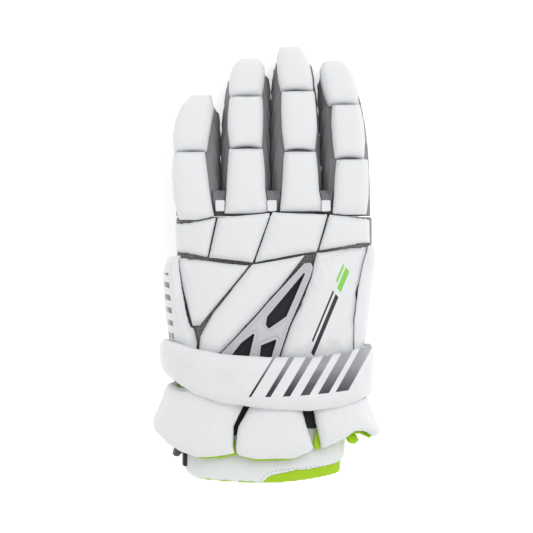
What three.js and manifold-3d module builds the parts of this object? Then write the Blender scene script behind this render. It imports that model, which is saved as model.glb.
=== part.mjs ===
// A padded field lacrosse glove for the left hand, resting on its palm with the thumb tucked under it.
// Millimetres: X towards the index finger, Y towards the fingertips, Z up from the surface it lies on.
// While the pieces are made, Y is 0 where the fingers join the hand and X is 0 near the hand's middle.
import * as THREE from "three";
import { mergeVertices } from "three/addons/utils/BufferGeometryUtils.js";
import Module from "manifold-3d";

const wasm = await Module();
wasm.setup();

// Driving dimensions of the hand
const handWidth = 150;
const fingerLength = 127;
const palmLength = 118;
const wristbandLength = 82;
const backHeight = 72;
const palmClearance = 34.5;
const fingerHeight = 28;
const knuckleDrop = 17.5;
const fingerCentreHeight = backHeight - knuckleDrop;
const thumbWidth = 33;
const thumbDepth = 26;

// Walls, padding and clearances
const leatherWall = 2.4;
const wristbandWall = 2.3;
const liningWall = 1.6;
const backPadding = 12;
const fingerPadding = 12;
const thumbPadding = 11;
const ulnarSidePadding = 12.2;
const radialSidePadding = 8;
const bandPadding = 9.4;
const bandSidePadding = 7.2;
const petalPadding = 10;
const meshThickness = 1.2;
const ventThickness = 5;
const webbingThickness = 2.2;
const seatGap = 0.3;
const stallContactGap = 0.15;
const seamGap = 0.5;
const liningGap = 0.8;

// Shape values that the pads share
const padArch = 13;
const padSkirt = 8;
const padLip = 0.5;
const padUnderlap = 5;
const pillowPower = 4;
const fingerTaper = 0.72;
const fingerSquareness = 3.2;
const fingerCurlPower = 1.6;
const tipHook = 17;
const tipReach = 2.4;
const thumbTipHook = 14;
const webReach = 20;
const webWidth = 14;
const webDrop = 4;
const tabWidth = 6.8;
const tabShifts = { pinky: -0.008, ring: 0.004, middle: 0.014 };
const tabLength = 8.4;
const tabRise = 4.5;
const bandClearance = 14.9;
const bandSideClearance = 10.7;
const cuffFlare = 16;
const liningShow = 1.1;
const liningTuck = 6;
const liningOffset = 2.4;
const gussetOffset = 0.5;
const gussetThickness = 1.5;
const sideTuck = 2;
const loopThickness = 4.5;
const tabThickness = 4;
const floorReach = 900;

// Facets
const stallShares = [0.28, 0.52, 0.72, 0.88, 0.97];
const stallTipScale = 0.72;
const bodySides = 24;
const fingerSides = 16;
const padSteps = 4;
const panelSteps = 5;

const materials = {
  whiteLeather: new THREE.MeshStandardMaterial({ color: 0xe6e7e9, roughness: 0.55, metalness: 0 }),
  greySuede: new THREE.MeshStandardMaterial({ color: 0x86878a, roughness: 0.9, metalness: 0 }),
  limeLining: new THREE.MeshStandardMaterial({ color: 0xa5cf1e, roughness: 0.8, metalness: 0 }),
  blackMesh: new THREE.MeshStandardMaterial({ color: 0x1c1d21, roughness: 0.85, metalness: 0 }),
  silverPlastic: new THREE.MeshStandardMaterial({ color: 0xc6c7ca, roughness: 0.4, metalness: 0.1 }),
  blackWebbing: new THREE.MeshStandardMaterial({ color: 0x2a2b2d, roughness: 0.9, metalness: 0 }),
};

// The hand and wrist tube. along: 0 at the knuckles, 1 at the wrist seam, 2 at the open end.
// middle and halfWidth are shares of handWidth, top of backHeight, bottom of palmClearance.
const bodySections = [
  { along: 0.0, middle: 0.033, halfWidth: 0.491, top: 1.0, bottom: 1.0, squareness: 5.0 },
  { along: 0.17, middle: 0.034, halfWidth: 0.49, top: 1.0, bottom: 0.98, squareness: 4.4 },
  { along: 0.3, middle: 0.012, halfWidth: 0.462, top: 1.0, bottom: 0.94, squareness: 3.8 },
  { along: 0.52, middle: 0.006, halfWidth: 0.446, top: 1.0, bottom: 0.8, squareness: 3.4 },
  { along: 0.82, middle: 0.0, halfWidth: 0.423, top: 1.0, bottom: 0.58, squareness: 2.8 },
  { along: 1.0, middle: 0.0, halfWidth: 0.413, top: 1.0, bottom: 0.49, squareness: 2.6 },
  { along: 1.4, middle: -0.01, halfWidth: 0.405, top: 0.99, bottom: 0.43, squareness: 2.6 },
  { along: 2.0, middle: -0.018, halfWidth: 0.395, top: 0.96, bottom: 0.41, squareness: 2.6 },
];

// The four finger stalls: x and half width as shares of handWidth, y as shares of fingerLength,
// deep as a share of half fingerHeight, and drop as a share of fingerCentreHeight.
const fingers = {
  pinky: {
    drop: 0.64,
    rows: [
      { y: 0.0, x: -0.342, half: 0.13, deep: 1.0 },
      { y: 0.36, x: -0.351, half: 0.125, deep: 0.9 },
      { y: 0.5, x: -0.342, half: 0.121, deep: 0.82 },
      { y: 0.64, x: -0.325, half: 0.087, deep: 0.74 },
    ],
  },
  ring: {
    drop: 0.838,
    rows: [
      { y: 0.0, x: -0.107, half: 0.14, deep: 1.0 },
      { y: 0.41, x: -0.112, half: 0.143, deep: 0.9 },
      { y: 0.68, x: -0.1, half: 0.137, deep: 0.82 },
      { y: 0.85, x: -0.096, half: 0.112, deep: 0.74 },
    ],
  },
  middle: {
    drop: 0.838,
    rows: [
      { y: 0.0, x: 0.147, half: 0.146, deep: 1.0 },
      { y: 0.4, x: 0.14, half: 0.142, deep: 0.9 },
      { y: 0.74, x: 0.13, half: 0.13, deep: 0.82 },
      { y: 0.925, x: 0.126, half: 0.104, deep: 0.74 },
    ],
  },
  index: {
    drop: 0.838,
    rows: [
      { y: 0.0, x: 0.396, half: 0.131, deep: 1.0 },
      { y: 0.35, x: 0.389, half: 0.136, deep: 0.9 },
      { y: 0.65, x: 0.365, half: 0.127, deep: 0.82 },
      { y: 0.835, x: 0.342, half: 0.104, deep: 0.74 },
    ],
  },
};

// The pads on the fingers' backs, each at four stations from its knuckle end to its tip end.
// from and to are shares of fingerLength; x and half width are shares of handWidth.
const padStations = [0, 0.35, 0.75, 1];
const fingerPads = [
  {
    finger: "pinky", part: "base", from: -0.02, to: 0.388,
    x: [-0.354, -0.381, -0.393, -0.391], half: [0.094, 0.095, 0.091, 0.081],
  },
  {
    finger: "pinky", part: "tip", from: 0.398, to: 0.713,
    x: [-0.387, -0.385, -0.352, -0.335], half: [0.086, 0.097, 0.086, 0.056],
  },
  {
    finger: "ring", part: "base", from: 0.018, to: 0.406,
    x: [-0.107, -0.109, -0.107, -0.109], half: [0.116, 0.099, 0.094, 0.089],
  },
  {
    finger: "ring", part: "middle", from: 0.419, to: 0.719,
    x: [-0.11, -0.112, -0.11, -0.109], half: [0.083, 0.091, 0.09, 0.086],
  },
  {
    finger: "ring", part: "tip", from: 0.728, to: 0.928,
    x: [-0.109, -0.107, -0.096, -0.087], half: [0.083, 0.093, 0.083, 0.052],
  },
  {
    finger: "middle", part: "base", from: 0.033, to: 0.389,
    x: [0.169, 0.164, 0.164, 0.163], half: [0.113, 0.094, 0.089, 0.083],
  },
  {
    finger: "middle", part: "middle", from: 0.402, to: 0.75,
    x: [0.16, 0.16, 0.155, 0.151], half: [0.08, 0.09, 0.09, 0.086],
  },
  {
    finger: "middle", part: "tip", from: 0.761, to: 1.0,
    x: [0.146, 0.136, 0.12, 0.113], half: [0.086, 0.089, 0.077, 0.06],
  },
  {
    finger: "index", part: "base", from: 0.012, to: 0.344,
    x: [0.409, 0.419, 0.422, 0.423], half: [0.089, 0.089, 0.087, 0.083],
  },
  {
    finger: "index", part: "middle", from: 0.356, to: 0.669,
    x: [0.409, 0.406, 0.399, 0.393], half: [0.077, 0.084, 0.083, 0.073],
  },
  {
    finger: "index", part: "tip", from: 0.677, to: 0.912,
    x: [0.381, 0.362, 0.34, 0.329], half: [0.082, 0.09, 0.081, 0.056],
  },
];

// The pads on the back of the hand: left and right edges, row by row from the knuckles to the wrist.
// x values are shares of handWidth and y values of palmLength.
const backPads = {
  knuckle_pad_pinky: [
    { leftX: -0.468, leftY: -0.037, rightX: -0.253, rightY: 0 },
    { leftX: -0.458, leftY: -0.226, rightX: -0.298, rightY: -0.261 },
  ],
  knuckle_pad_ring: [
    { leftX: -0.253, leftY: 0, rightX: 0.019, rightY: 0.029 },
    { leftX: -0.298, leftY: -0.261, rightX: -0.071, rightY: -0.294 },
  ],
  knuckle_pad_middle: [
    { leftX: 0.019, leftY: 0.034, rightX: 0.305, rightY: 0.019 },
    { leftX: -0.071, leftY: -0.294, rightX: 0.25, rightY: -0.219 },
  ],
  knuckle_pad_index: [
    { leftX: 0.305, leftY: 0.019, rightX: 0.514, rightY: -0.003 },
    { leftX: 0.25, leftY: -0.219, rightX: 0.52, rightY: -0.166 },
  ],
  back_pad_ulnar: [
    { leftX: -0.472, leftY: -0.246, rightX: -0.085, rightY: -0.309 },
    { leftX: -0.379, leftY: -0.696, rightX: -0.335, rightY: -0.694 },
  ],
  back_pad_centre: [
    { leftX: -0.083, leftY: -0.301, rightX: 0.196, rightY: -0.238 },
    { leftX: -0.214, leftY: -0.508, rightX: 0.012, rightY: -0.535 },
    { leftX: -0.333, leftY: -0.695, rightX: -0.13, rightY: -0.73 },
    { leftX: -0.356, leftY: -0.94, rightX: -0.282, rightY: -0.94 },
  ],
  back_pad_radial: [
    { leftX: 0.24, leftY: -0.229, rightX: 0.51, rightY: -0.173 },
    { leftX: 0.2, leftY: -0.4335, rightX: 0.47, rightY: -0.4 },
    { leftX: 0.126, leftY: -0.624, rightX: 0.437, rightY: -0.575 },
    { leftX: 0.04, leftY: -0.94, rightX: 0.433, rightY: -0.94 },
  ],
};

// The vent's plastic frame and its three openings, in the same shares.
const ventOutline = [
  { x: 0.183, y: -0.296 },
  { x: 0.205, y: -0.292 },
  { x: 0.217, y: -0.292 },
  { x: 0.228, y: -0.326 },
  { x: 0.206, y: -0.434 },
  { x: 0.14, y: -0.624 },
  { x: 0.05, y: -0.94 },
  { x: -0.3, y: -0.94 },
  { x: -0.216, y: -0.845 },
  { x: 0.008, y: -0.535 },
];
const ventOpenings = [
  [
    { x: 0.196, y: -0.333 },
    { x: 0.094, y: -0.632 },
    { x: 0.004, y: -0.712 },
    { x: -0.009, y: -0.686 },
    { x: -0.003, y: -0.635 },
  ],
  [
    { x: -0.064, y: -0.735 },
    { x: -0.096, y: -0.905 },
    { x: -0.196, y: -0.905 },
    { x: -0.132, y: -0.8 },
  ],
  [
    { x: 0.046, y: -0.776 },
    { x: 0.016, y: -0.905 },
    { x: -0.041, y: -0.905 },
    { x: -0.034, y: -0.818 },
  ],
];

// Layers that wrap the hand or wrist. Each row follows an angle about the tube: 0 is the index side,
// 90 the back, 180 the little finger's side. head and foot are that angle at the upper and lower edge,
// upper and lower are the edges' places as shares of palmLength, and flare is a share of cuffFlare.
const bandRows = [
  { head: -68, foot: -68, upper: -0.87, lower: -1.06, flare: 0 },
  { head: -20, foot: -20, upper: -0.8, lower: -1.13, flare: 0 },
  { head: 10, foot: 10, upper: -0.803, lower: -1.155, flare: 0 },
  { head: 40, foot: 40, upper: -0.845, lower: -1.205, flare: 0 },
  { head: 70, foot: 70, upper: -0.888, lower: -1.235, flare: 0 },
  { head: 100, foot: 100, upper: -0.885, lower: -1.22, flare: 0 },
  { head: 130, foot: 130, upper: -0.83, lower: -1.13, flare: 0 },
  { head: 155, foot: 155, upper: -0.785, lower: -1.035, flare: 0 },
  { head: 180, foot: 180, upper: -0.775, lower: -0.985, flare: 0 },
  { head: 205, foot: 205, upper: -0.775, lower: -0.99, flare: 0 },
  { head: 248, foot: 248, upper: -0.785, lower: -1.0, flare: 0 },
];
const petalRows = {
  ulnar: [
    { head: 84, foot: 103, bow: 8.7, upper: -1.02, lower: -1.505, flare: 0.12 },
    { head: 108, foot: 117, bow: 2, upper: -1.03, lower: -1.53, flare: 0.16 },
    { head: 130, foot: 133, bow: 0, upper: -1.04, lower: -1.53, flare: 0.32 },
    { head: 146, foot: 146, bow: 0, upper: -1.09, lower: -1.475, flare: 0.52 },
    { head: 162, foot: 162, bow: 0, upper: -1.075, lower: -1.41, flare: 0.76 },
    { head: 180, foot: 180, bow: 0, upper: -1.05, lower: -1.335, flare: 0.84 },
    { head: 208, foot: 208, bow: 0, upper: -1.03, lower: -1.27, flare: 0.76 },
    { head: 243, foot: 243, bow: 0, upper: -1.0, lower: -1.25, flare: 0.7 },
  ],
  radial: [
    { head: -63, foot: -63, bow: 0, upper: -1.02, lower: -1.27, flare: 0.8 },
    { head: -28, foot: -28, bow: 0, upper: -1.09, lower: -1.33, flare: 0.98 },
    { head: 2, foot: 2, bow: 0, upper: -1.125, lower: -1.405, flare: 1.06 },
    { head: 17, foot: 17, bow: 0, upper: -1.13, lower: -1.395, flare: 0.86 },
    { head: 29, foot: 29, bow: 0, upper: -1.12, lower: -1.345, flare: 0.58 },
    { head: 41, foot: 41, bow: 0, upper: -1.08, lower: -1.415, flare: 0.34 },
    { head: 56, foot: 52, bow: 0.5, upper: -1.03, lower: -1.45, flare: 0.2 },
    { head: 69, foot: 58.5, bow: 1, upper: -1.02, lower: -1.475, flare: 0.12 },
  ],
  centre: [
    { head: 77.2, foot: 64, bow: 2.4, upper: -1.02, lower: -1.47, flare: 0.12 },
    { head: 78.6, foot: 73.4, bow: 1.2, upper: -1.02, lower: -1.53, flare: 0.16 },
    { head: 80, foot: 86, bow: 0, upper: -1.02, lower: -1.55, flare: 0.18 },
    { head: 81, foot: 96, bow: 2.6, upper: -1.02, lower: -1.54, flare: 0.16 },
    { head: 82, foot: 102.2, bow: 7.4, upper: -1.02, lower: -1.505, flare: 0.12 },
  ],
};
// How far a lining draws in from its petal's side edges at the top and spreads past them at the foot,
// in degrees, and the shares of the way down between which it changes from one to the other
const liningEdges = {
  ulnar: { drawn: 4, spread: 0.4 },
  centre: { drawn: 1, spread: 0 },
  radial: { drawn: 4.6, spread: 2.5 },
};
const liningTurn = { from: 0.6, to: 0.9 };
const gussetRows = {
  ulnar: [
    { head: 92, foot: 98, upper: -1.04, lower: -1.39, flare: 0 },
    { head: 104, foot: 113, upper: -1.04, lower: -1.39, flare: 0 },
  ],
  radial: [
    { head: 56, foot: 54, upper: -1.04, lower: -1.345, flare: 0 },
    { head: 80, foot: 76, upper: -1.04, lower: -1.345, flare: 0 },
  ],
};
const sideRows = {
  ulnar: [
    { head: 149, foot: 133, upper: -0.242, lower: -0.94, flare: -0.19 },
    { head: 163, foot: 154, upper: -0.25, lower: -0.95, flare: -0.19 },
    { head: 184, foot: 184, upper: -0.248, lower: -0.95, flare: -0.19 },
    { head: 210, foot: 216, upper: -0.27, lower: -0.94, flare: -0.1 },
  ],
  radial: [
    { head: -26, foot: -30, upper: -0.21, lower: -0.9, flare: 0.1 },
    { head: -4, foot: -4, upper: -0.185, lower: -0.94, flare: 0.13 },
    { head: 16, foot: 16, upper: -0.175, lower: -0.94, flare: 0.13 },
    { head: 31, foot: 32, bow: 5, upper: -0.178, lower: -0.94, flare: 0.13 },
  ],
};
const strapRows = [
  { head: 166, foot: 166, upper: -1.36, lower: -1.59, flare: 0 },
  { head: 190, foot: 190, upper: -1.36, lower: -1.58, flare: 0 },
  { head: 230, foot: 230, upper: -1.36, lower: -1.56, flare: 0 },
  { head: 290, foot: 290, upper: -1.34, lower: -1.54, flare: 0 },
];
const loopRows = [
  { head: 150, foot: 152, upper: -1.34, lower: -1.49, flare: 0.2 },
  { head: 161, foot: 161, upper: -1.34, lower: -1.525, flare: 0.28 },
  { head: 172, foot: 170, upper: -1.34, lower: -1.51, flare: 0.25 },
];
const tabRows = [
  { head: 19, foot: 19, upper: -1.22, lower: -1.42, flare: 0.66 },
  { head: 24, foot: 24, upper: -1.22, lower: -1.445, flare: 0.6 },
  { head: 29, foot: 29, upper: -1.22, lower: -1.43, flare: 0.52 },
];

// Where the wristband ends, by angle: ends is the whole tube's rim and cut is the white outer
// layer's edge, both as shares of wristbandLength past the wrist seam.
const rimRows = [
  { angle: 0, ends: 0.9, cut: 0.77 },
  { angle: 15, ends: 0.91, cut: 0.795 },
  { angle: 30, ends: 0.925, cut: 0.822 },
  { angle: 60, ends: 0.965, cut: 0.87 },
  { angle: 78, ends: 0.99, cut: 0.89 },
    { angle: 90, ends: 1.0, cut: 0.942 },
  { angle: 105, ends: 0.99, cut: 0.981 },
  { angle: 130, ends: 0.974, cut: 0.964 },
  { angle: 150, ends: 0.954, cut: 0.944 },
  { angle: 180, ends: 0.895, cut: 0.885 },
  { angle: 270, ends: 0.93, cut: 0.92 },
  { angle: 330, ends: 0.9, cut: 0.8 },
  { angle: 360, ends: 0.9, cut: 0.77 },
];

// The thumb's centre line: x as a share of handWidth, y of palmLength, z of backHeight.
// wide and deep are shares of half thumbWidth and half thumbDepth.
const thumbRows = [
  { x: 0.3, y: -0.8, z: 0.62, wide: 0.86, deep: 1.0 },
  { x: 0.325, y: -0.57, z: 0.32, wide: 0.96, deep: 1.06 },
  { x: 0.333, y: -0.32, z: 0.226, wide: 1.0, deep: 1.0 },
  { x: 0.313, y: -0.05, z: 0.222, wide: 1.0, deep: 0.94 },
  { x: 0.28, y: 0.13, z: 0.2, wide: 0.86, deep: 0.86 },
  { x: 0.262, y: 0.195, z: 0.19, wide: 0.6, deep: 0.55 },
];
const thumbPads = [
  { name: "thumb_pad_base", from: 0.4, to: 0.655, wide: [0.8, 0.92, 0.94, 0.86] },
  { name: "thumb_pad_tip", from: 0.67, to: 1.06, wide: [0.86, 0.94, 0.84, 0.5] },
];

// Linear interpolation of every number in a table, by the column named key.
function rowAt(table, key, value) {
  const last = table.length - 1;
  let i = 0;
  while (i < last - 1 && table[i + 1][key] < value) i += 1;
  const low = table[i];
  const high = table[i + 1];
  const share = THREE.MathUtils.clamp((value - low[key]) / (high[key] - low[key]), 0, 1);
  const row = {};
  for (const column of Object.keys(low)) {
    row[column] = THREE.MathUtils.lerp(low[column], high[column], share);
  }
  return row;
}

// The value at t from 0 to 1 in a list whose places are given by stations.
function listAt(list, stations, t) {
  let i = 0;
  while (i < stations.length - 2 && stations[i + 1] < t) i += 1;
  const share = THREE.MathUtils.clamp((t - stations[i]) / (stations[i + 1] - stations[i]), 0, 1);
  return THREE.MathUtils.lerp(list[i], list[i + 1], share);
}

// Places from 0 to 1, closer together towards both ends, where edges are rounded.
function edgeSpaced(steps) {
  return Array.from({ length: steps + 1 }, (_, i) => 0.5 - 0.5 * Math.cos((Math.PI * i) / steps));
}

function evenSpaced(steps, from = 0, to = 1) {
  return Array.from({ length: steps + 1 }, (_, i) => THREE.MathUtils.lerp(from, to, i / steps));
}

// Even places from 0 to 1 with one more close to either end, where the edge is rounded.
function rimSpaced(steps) {
  const near = 0.35 / steps;
  return [0, near, ...evenSpaced(steps).slice(1, -1), 1 - near, 1];
}

// How full a pillow is at a place from 0 to 1 across it.
function pillow(t) {
  return (1 - Math.abs(2 * t - 1) ** pillowPower) ** (1 / pillowPower);
}

function superellipse(angle, halfWidth, halfHeight, squareness) {
  const c = Math.cos(THREE.MathUtils.degToRad(angle));
  const s = Math.sin(THREE.MathUtils.degToRad(angle));
  const power = 2 / squareness;
  return { across: Math.sign(c) * Math.abs(c) ** power * halfWidth,
    up: Math.sign(s) * Math.abs(s) ** power * halfHeight };
}

// A solid from points and triangles, turned to face outwards.
function solidFrom(points, triangles) {
  const geometry = new THREE.BufferGeometry().setFromPoints(points);
  geometry.setIndex(triangles);
  return solidOf(geometry);
}

function solidOf(geometry) {
  const bare = geometry.clone();
  bare.deleteAttribute("normal");
  bare.deleteAttribute("uv");
  const merged = mergeVertices(bare, 1e-4);
  const position = merged.attributes.position;
  const index = merged.index.array;
  const a = new THREE.Vector3();
  const b = new THREE.Vector3();
  const c = new THREE.Vector3();
  let volume = 0;
  for (let i = 0; i < index.length; i += 3) {
    a.fromBufferAttribute(position, index[i]);
    b.fromBufferAttribute(position, index[i + 1]);
    c.fromBufferAttribute(position, index[i + 2]);
    volume += a.dot(b.cross(c));
  }
  const triVerts = new Uint32Array(index);
  if (volume < 0) triVerts.reverse();
  return new wasm.Manifold(new wasm.Mesh({ numProp: 3, vertProperties: position.array, triVerts }));
}

// The skin between rings of points, closed at both ends, or joined end to end when round is true.
function loft(rings, round = false) {
  const sides = rings[0].length;
  const points = rings.flat();
  const triangles = [];
  const spans = round ? rings.length : rings.length - 1;
  for (let r = 0; r < spans; r += 1) {
    const here = r * sides;
    const next = ((r + 1) % rings.length) * sides;
    for (let i = 0; i < sides; i += 1) {
      const j = (i + 1) % sides;
      triangles.push(here + i, here + j, next + j);
      triangles.push(here + i, next + j, next + i);
    }
  }
  if (!round) {
    const caps = [{ ring: rings[0], start: 0, turn: true },
      { ring: rings[rings.length - 1], start: (rings.length - 1) * sides, turn: false }];
    for (const { ring, start, turn } of caps) {
      const centre = new THREE.Vector3();
      for (const p of ring) centre.addScaledVector(p, 1 / sides);
      const middle = points.push(centre) - 1;
      for (let i = 0; i < sides; i += 1) {
        const j = (i + 1) % sides;
        triangles.push(middle, start + (turn ? j : i), start + (turn ? i : j));
      }
    }
  }
  return solidFrom(points, triangles);
}

// A padded slab over a grid: pairAt(u, v) gives its top and bottom points.
function slab(pairAt, acrossPlaces, alongPlaces) {
  const points = [];
  const wide = alongPlaces.length;
  for (const u of acrossPlaces) {
    for (const v of alongPlaces) {
      const { top, bottom } = pairAt(u, v);
      points.push(top, bottom);
    }
  }
  const at = (i, j, side) => 2 * (i * wide + j) + side;
  const triangles = [];
  const quad = (a, b, c, d) => triangles.push(a, b, c, a, c, d);
  const lastU = acrossPlaces.length - 1;
  const lastV = wide - 1;
  for (let i = 0; i < lastU; i += 1) {
    for (let j = 0; j < lastV; j += 1) {
      quad(at(i, j, 0), at(i + 1, j, 0), at(i + 1, j + 1, 0), at(i, j + 1, 0));
      quad(at(i, j, 1), at(i, j + 1, 1), at(i + 1, j + 1, 1), at(i + 1, j, 1));
    }
    quad(at(i, 0, 0), at(i, 0, 1), at(i + 1, 0, 1), at(i + 1, 0, 0));
    quad(at(i, lastV, 0), at(i + 1, lastV, 0), at(i + 1, lastV, 1), at(i, lastV, 1));
  }
  for (let j = 0; j < lastV; j += 1) {
    quad(at(0, j, 0), at(0, j + 1, 0), at(0, j + 1, 1), at(0, j, 1));
    quad(at(lastU, j, 0), at(lastU, j, 1), at(lastU, j + 1, 1), at(lastU, j + 1, 0));
  }
  return solidFrom(points, triangles);
}

// The hand tube's section at a place along the glove.
function bodyAt(y) {
  const along = y > -palmLength ? -y / palmLength : 1 + (-y - palmLength) / wristbandLength;
  const row = rowAt(bodySections, "along", THREE.MathUtils.clamp(along, 0, 2));
  const top = row.top * backHeight;
  const bottom = row.bottom * palmClearance;
  return { x: row.middle * handWidth, z: (top + bottom) / 2, halfWidth: row.halfWidth * handWidth,
    halfHeight: (top - bottom) / 2, squareness: row.squareness };
}

// A point on the hand tube, moved out by so much at its sides and its top.
function bodyPoint(angle, y, sideOffset, topOffset = sideOffset) {
  const body = bodyAt(y);
  const p = superellipse(angle, body.halfWidth + sideOffset, body.halfHeight + topOffset, body.squareness);
  return new THREE.Vector3(body.x + p.across, y, body.z + p.up);
}

function bodyRing(y, offset) {
  return evenSpaced(bodySides, 0, 360).slice(0, -1).map((angle) => bodyPoint(angle, y, offset));
}

// The hand shell's outer form, grown by offset, from the knuckles to the wrist seam.
function bodySolid(offset) {
  const places = bodySections.filter((s) => s.along <= 1).map((s) => -s.along * palmLength);
  const rings = places.map((y) => bodyRing(y, offset));
  rings[0] = bodyRing(offset, offset);
  return loft(rings);
}

// A finger's centre and tilt where its centre line passes y.
function fingerAt(finger, y) {
  const { rows, drop } = fingers[finger];
  const row = rowAt(rows, "y", y / fingerLength);
  const reach = rows[rows.length - 1].y * fingerLength;
  const depth = drop * fingerCentreHeight;
  const share = Math.max(y, 0) / reach;
  const slope = (fingerCurlPower * depth * share ** (fingerCurlPower - 1)) / reach;
  return { x: row.x * handWidth, z: fingerCentreHeight - depth * share ** fingerCurlPower,
    half: row.half * handWidth, deep: (row.deep * fingerHeight) / 2, tilt: Math.atan(slope) };
}

// A ring round a finger: broader at the palm side, square to the centre line.
function fingerRing(finger, y, offset, scale = 1) {
  const f = fingerAt(finger, y);
  return evenSpaced(fingerSides, 0, 360).slice(0, -1).map((angle) => {
    const p = superellipse(angle, 1, 1, fingerSquareness);
    const taper = THREE.MathUtils.lerp(1, fingerTaper, (p.up + 1) / 2);
    const across = p.across * (f.half * taper + offset) * scale;
    const up = p.up * (f.deep + offset) * scale;
    return new THREE.Vector3(f.x + across, y + up * Math.sin(f.tilt), f.z + up * Math.cos(f.tilt));
  });
}

// The rings of a finger stall's surface, moved out by offset, with a rounded tip.
function fingerRings(finger, offset, start, shares = stallShares) {
  const { rows } = fingers[finger];
  const reach = rows[rows.length - 1].y * fingerLength;
  const first = fingerRing(finger, seatGap, offset);
  const rings = start < seatGap ? [first.map((p) => p.clone().setY(start))] : [];
  rings.push(first.map((p) => p.setY(seatGap)));
  for (const share of shares) rings.push(fingerRing(finger, reach * share, offset));
  rings.push(fingerRing(finger, reach + offset, offset, stallTipScale));
  return rings;
}

function stallSolid(finger) {
  const outer = fingerRings(finger, 0, seatGap);
  const inner = fingerRings(finger, -leatherWall, seatGap, stallShares.filter((_, i) => i % 2 === 0));
  return loft([...inner.reverse(), ...outer]);
}

// The place on a finger's centre line whose back, so far above it, lies at planY seen from above.
function underPlace(finger, planY, lift) {
  let y = planY;
  for (let i = 0; i < 8; i += 1) {
    const f = fingerAt(finger, y);
    y = planY - Math.sin(f.tilt) * (f.deep + lift);
  }
  return y;
}

function fingerPadSolid(pad, grow = 0) {
  const isTip = pad.part === "tip";
  const from = underPlace(pad.finger, pad.from * fingerLength, fingerPadding * padLip) - grow;
  const to = underPlace(pad.finger, pad.to * fingerLength, isTip ? -tipReach : fingerPadding * padLip) + grow;
  const pairAt = (u, v) => {
    const y = THREE.MathUtils.lerp(from, to, v);
    const f = fingerAt(pad.finger, y);
    const half = listAt(pad.half, padStations, v) * handWidth + grow;
    const across = (2 * u - 1) * half * (1 - 0.04 * Math.abs(2 * v - 1) ** 6);
    const x = listAt(pad.x, padStations, v) * handWidth + across;
    const full = padLip + (1 - padLip) * Math.min(pillow(u), pillow(v));
    const sink = isTip ? tipHook * THREE.MathUtils.smoothstep(v, 0.72, 0.98) : 0;
    const roll = isTip ? 0.3 * tipHook * THREE.MathUtils.smoothstep(v, 0.6, 1.0) : 0;
    const pointAt = (up) => new THREE.Vector3(x, y + up * Math.sin(f.tilt), f.z + up * Math.cos(f.tilt));
    const top = f.deep + fingerPadding * full - roll + grow;
    return { top: pointAt(top), bottom: pointAt(f.deep - padUnderlap - sink - grow) };
  };
  return slab(pairAt, edgeSpaced(padSteps), edgeSpaced(padSteps + (isTip ? 2 : 1)));
}

// The height of the padding's top over the hand's back at a place.
function backTop(x, y, thickness) {
  const body = bodyAt(y);
  const share = Math.min(Math.abs(x - body.x) / body.halfWidth, 1.05);
  return body.z + body.halfHeight + thickness - padArch * share ** 3;
}

// A pad on the hand's back, its outline drawn in by half a seam.
function backPadSolid(rows, grow = 0) {
  const edges = rows.map((row, i) => ({ ...row, station: i / (rows.length - 1) }));
  const pairAt = (u, v) => {
    const row = rowAt(edges, "station", v);
    const left = new THREE.Vector2(row.leftX * handWidth, row.leftY * palmLength);
    const right = new THREE.Vector2(row.rightX * handWidth, row.rightY * palmLength);
    const width = left.distanceTo(right);
    const inset = (seamGap / 2 - grow) / width;
    const squeeze = 0.012 * Math.abs(2 * v - 1) ** 8;
    const share = THREE.MathUtils.lerp(inset + squeeze, 1 - inset - squeeze, u);
    const p = left.lerp(right, share);
    const bow = (seamGap / 2 - grow) * (1 - 2 * v) - 0.008 * width * (1 - 2 * v) * Math.abs(2 * u - 1) ** 8;
    const y = p.y - bow;
    const full = padLip + (1 - padLip) * Math.min(pillow(u), pillow(v));
    const top = backTop(p.x, y, backPadding * full) + grow;
    const bottom = backTop(p.x, y, 0) - padSkirt - grow;
    return { top: new THREE.Vector3(p.x, y, top), bottom: new THREE.Vector3(p.x, y, bottom) };
  };
  const along = rows.length > 2 ? panelSteps + 1 : panelSteps;
  return slab(pairAt, edgeSpaced(panelSteps), edgeSpaced(along));
}

// A layer that wraps the tube from its inner to its outer offset, at the sides and at the top.
function wrapSolid(rows, layer) {
  const { sideOffset, topOffset = sideOffset } = layer;
  const { thickness, topThickness = thickness } = layer;
  const { steps, along = panelSteps, grow = 0, lip = padLip } = layer;
  const { spread = 0, drawn: tucked = 0, aboveShow = 0, belowShow = 0 } = layer;
  const edges = rows.map((row, i) => ({ bow: 0, ...row, station: i / (rows.length - 1) }));
  const pairAt = (u, v) => {
    const row = rowAt(edges, "station", u);
    const upper = row.upper * palmLength;
    const lower = row.lower * palmLength;
    const y = THREE.MathUtils.lerp(upper + grow + aboveShow, lower - grow - belowShow, v);
    const down = Math.max((upper - y) / (upper - lower), 0);
    const side = 2 * u - 1;
    const turned = THREE.MathUtils.smoothstep(down, liningTurn.from, liningTurn.to);
    const past = THREE.MathUtils.lerp(-tucked, spread, turned);
    const wider = THREE.MathUtils.radToDeg(grow / (handWidth / 2)) * side + past * side ** 9;
    const drawn = THREE.MathUtils.lerp(row.head, row.foot, down) + row.bow * 4 * down * (1 - down);
    const angle = drawn + wider;
    const flare = row.flare * cuffFlare * down ** 1.6;
    const full = lip + (1 - lip) * Math.min(pillow(u), pillow(v));
    const inner = flare - grow;
    const outer = flare + thickness * full + grow;
    const outerTop = flare + topThickness * full + grow;
    return { top: bodyPoint(angle, y, sideOffset + outer, topOffset + outerTop),
      bottom: bodyPoint(angle, y, sideOffset + inner, topOffset + inner) };
  };
  return slab(pairAt, rimSpaced(steps), edgeSpaced(along));
}

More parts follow.
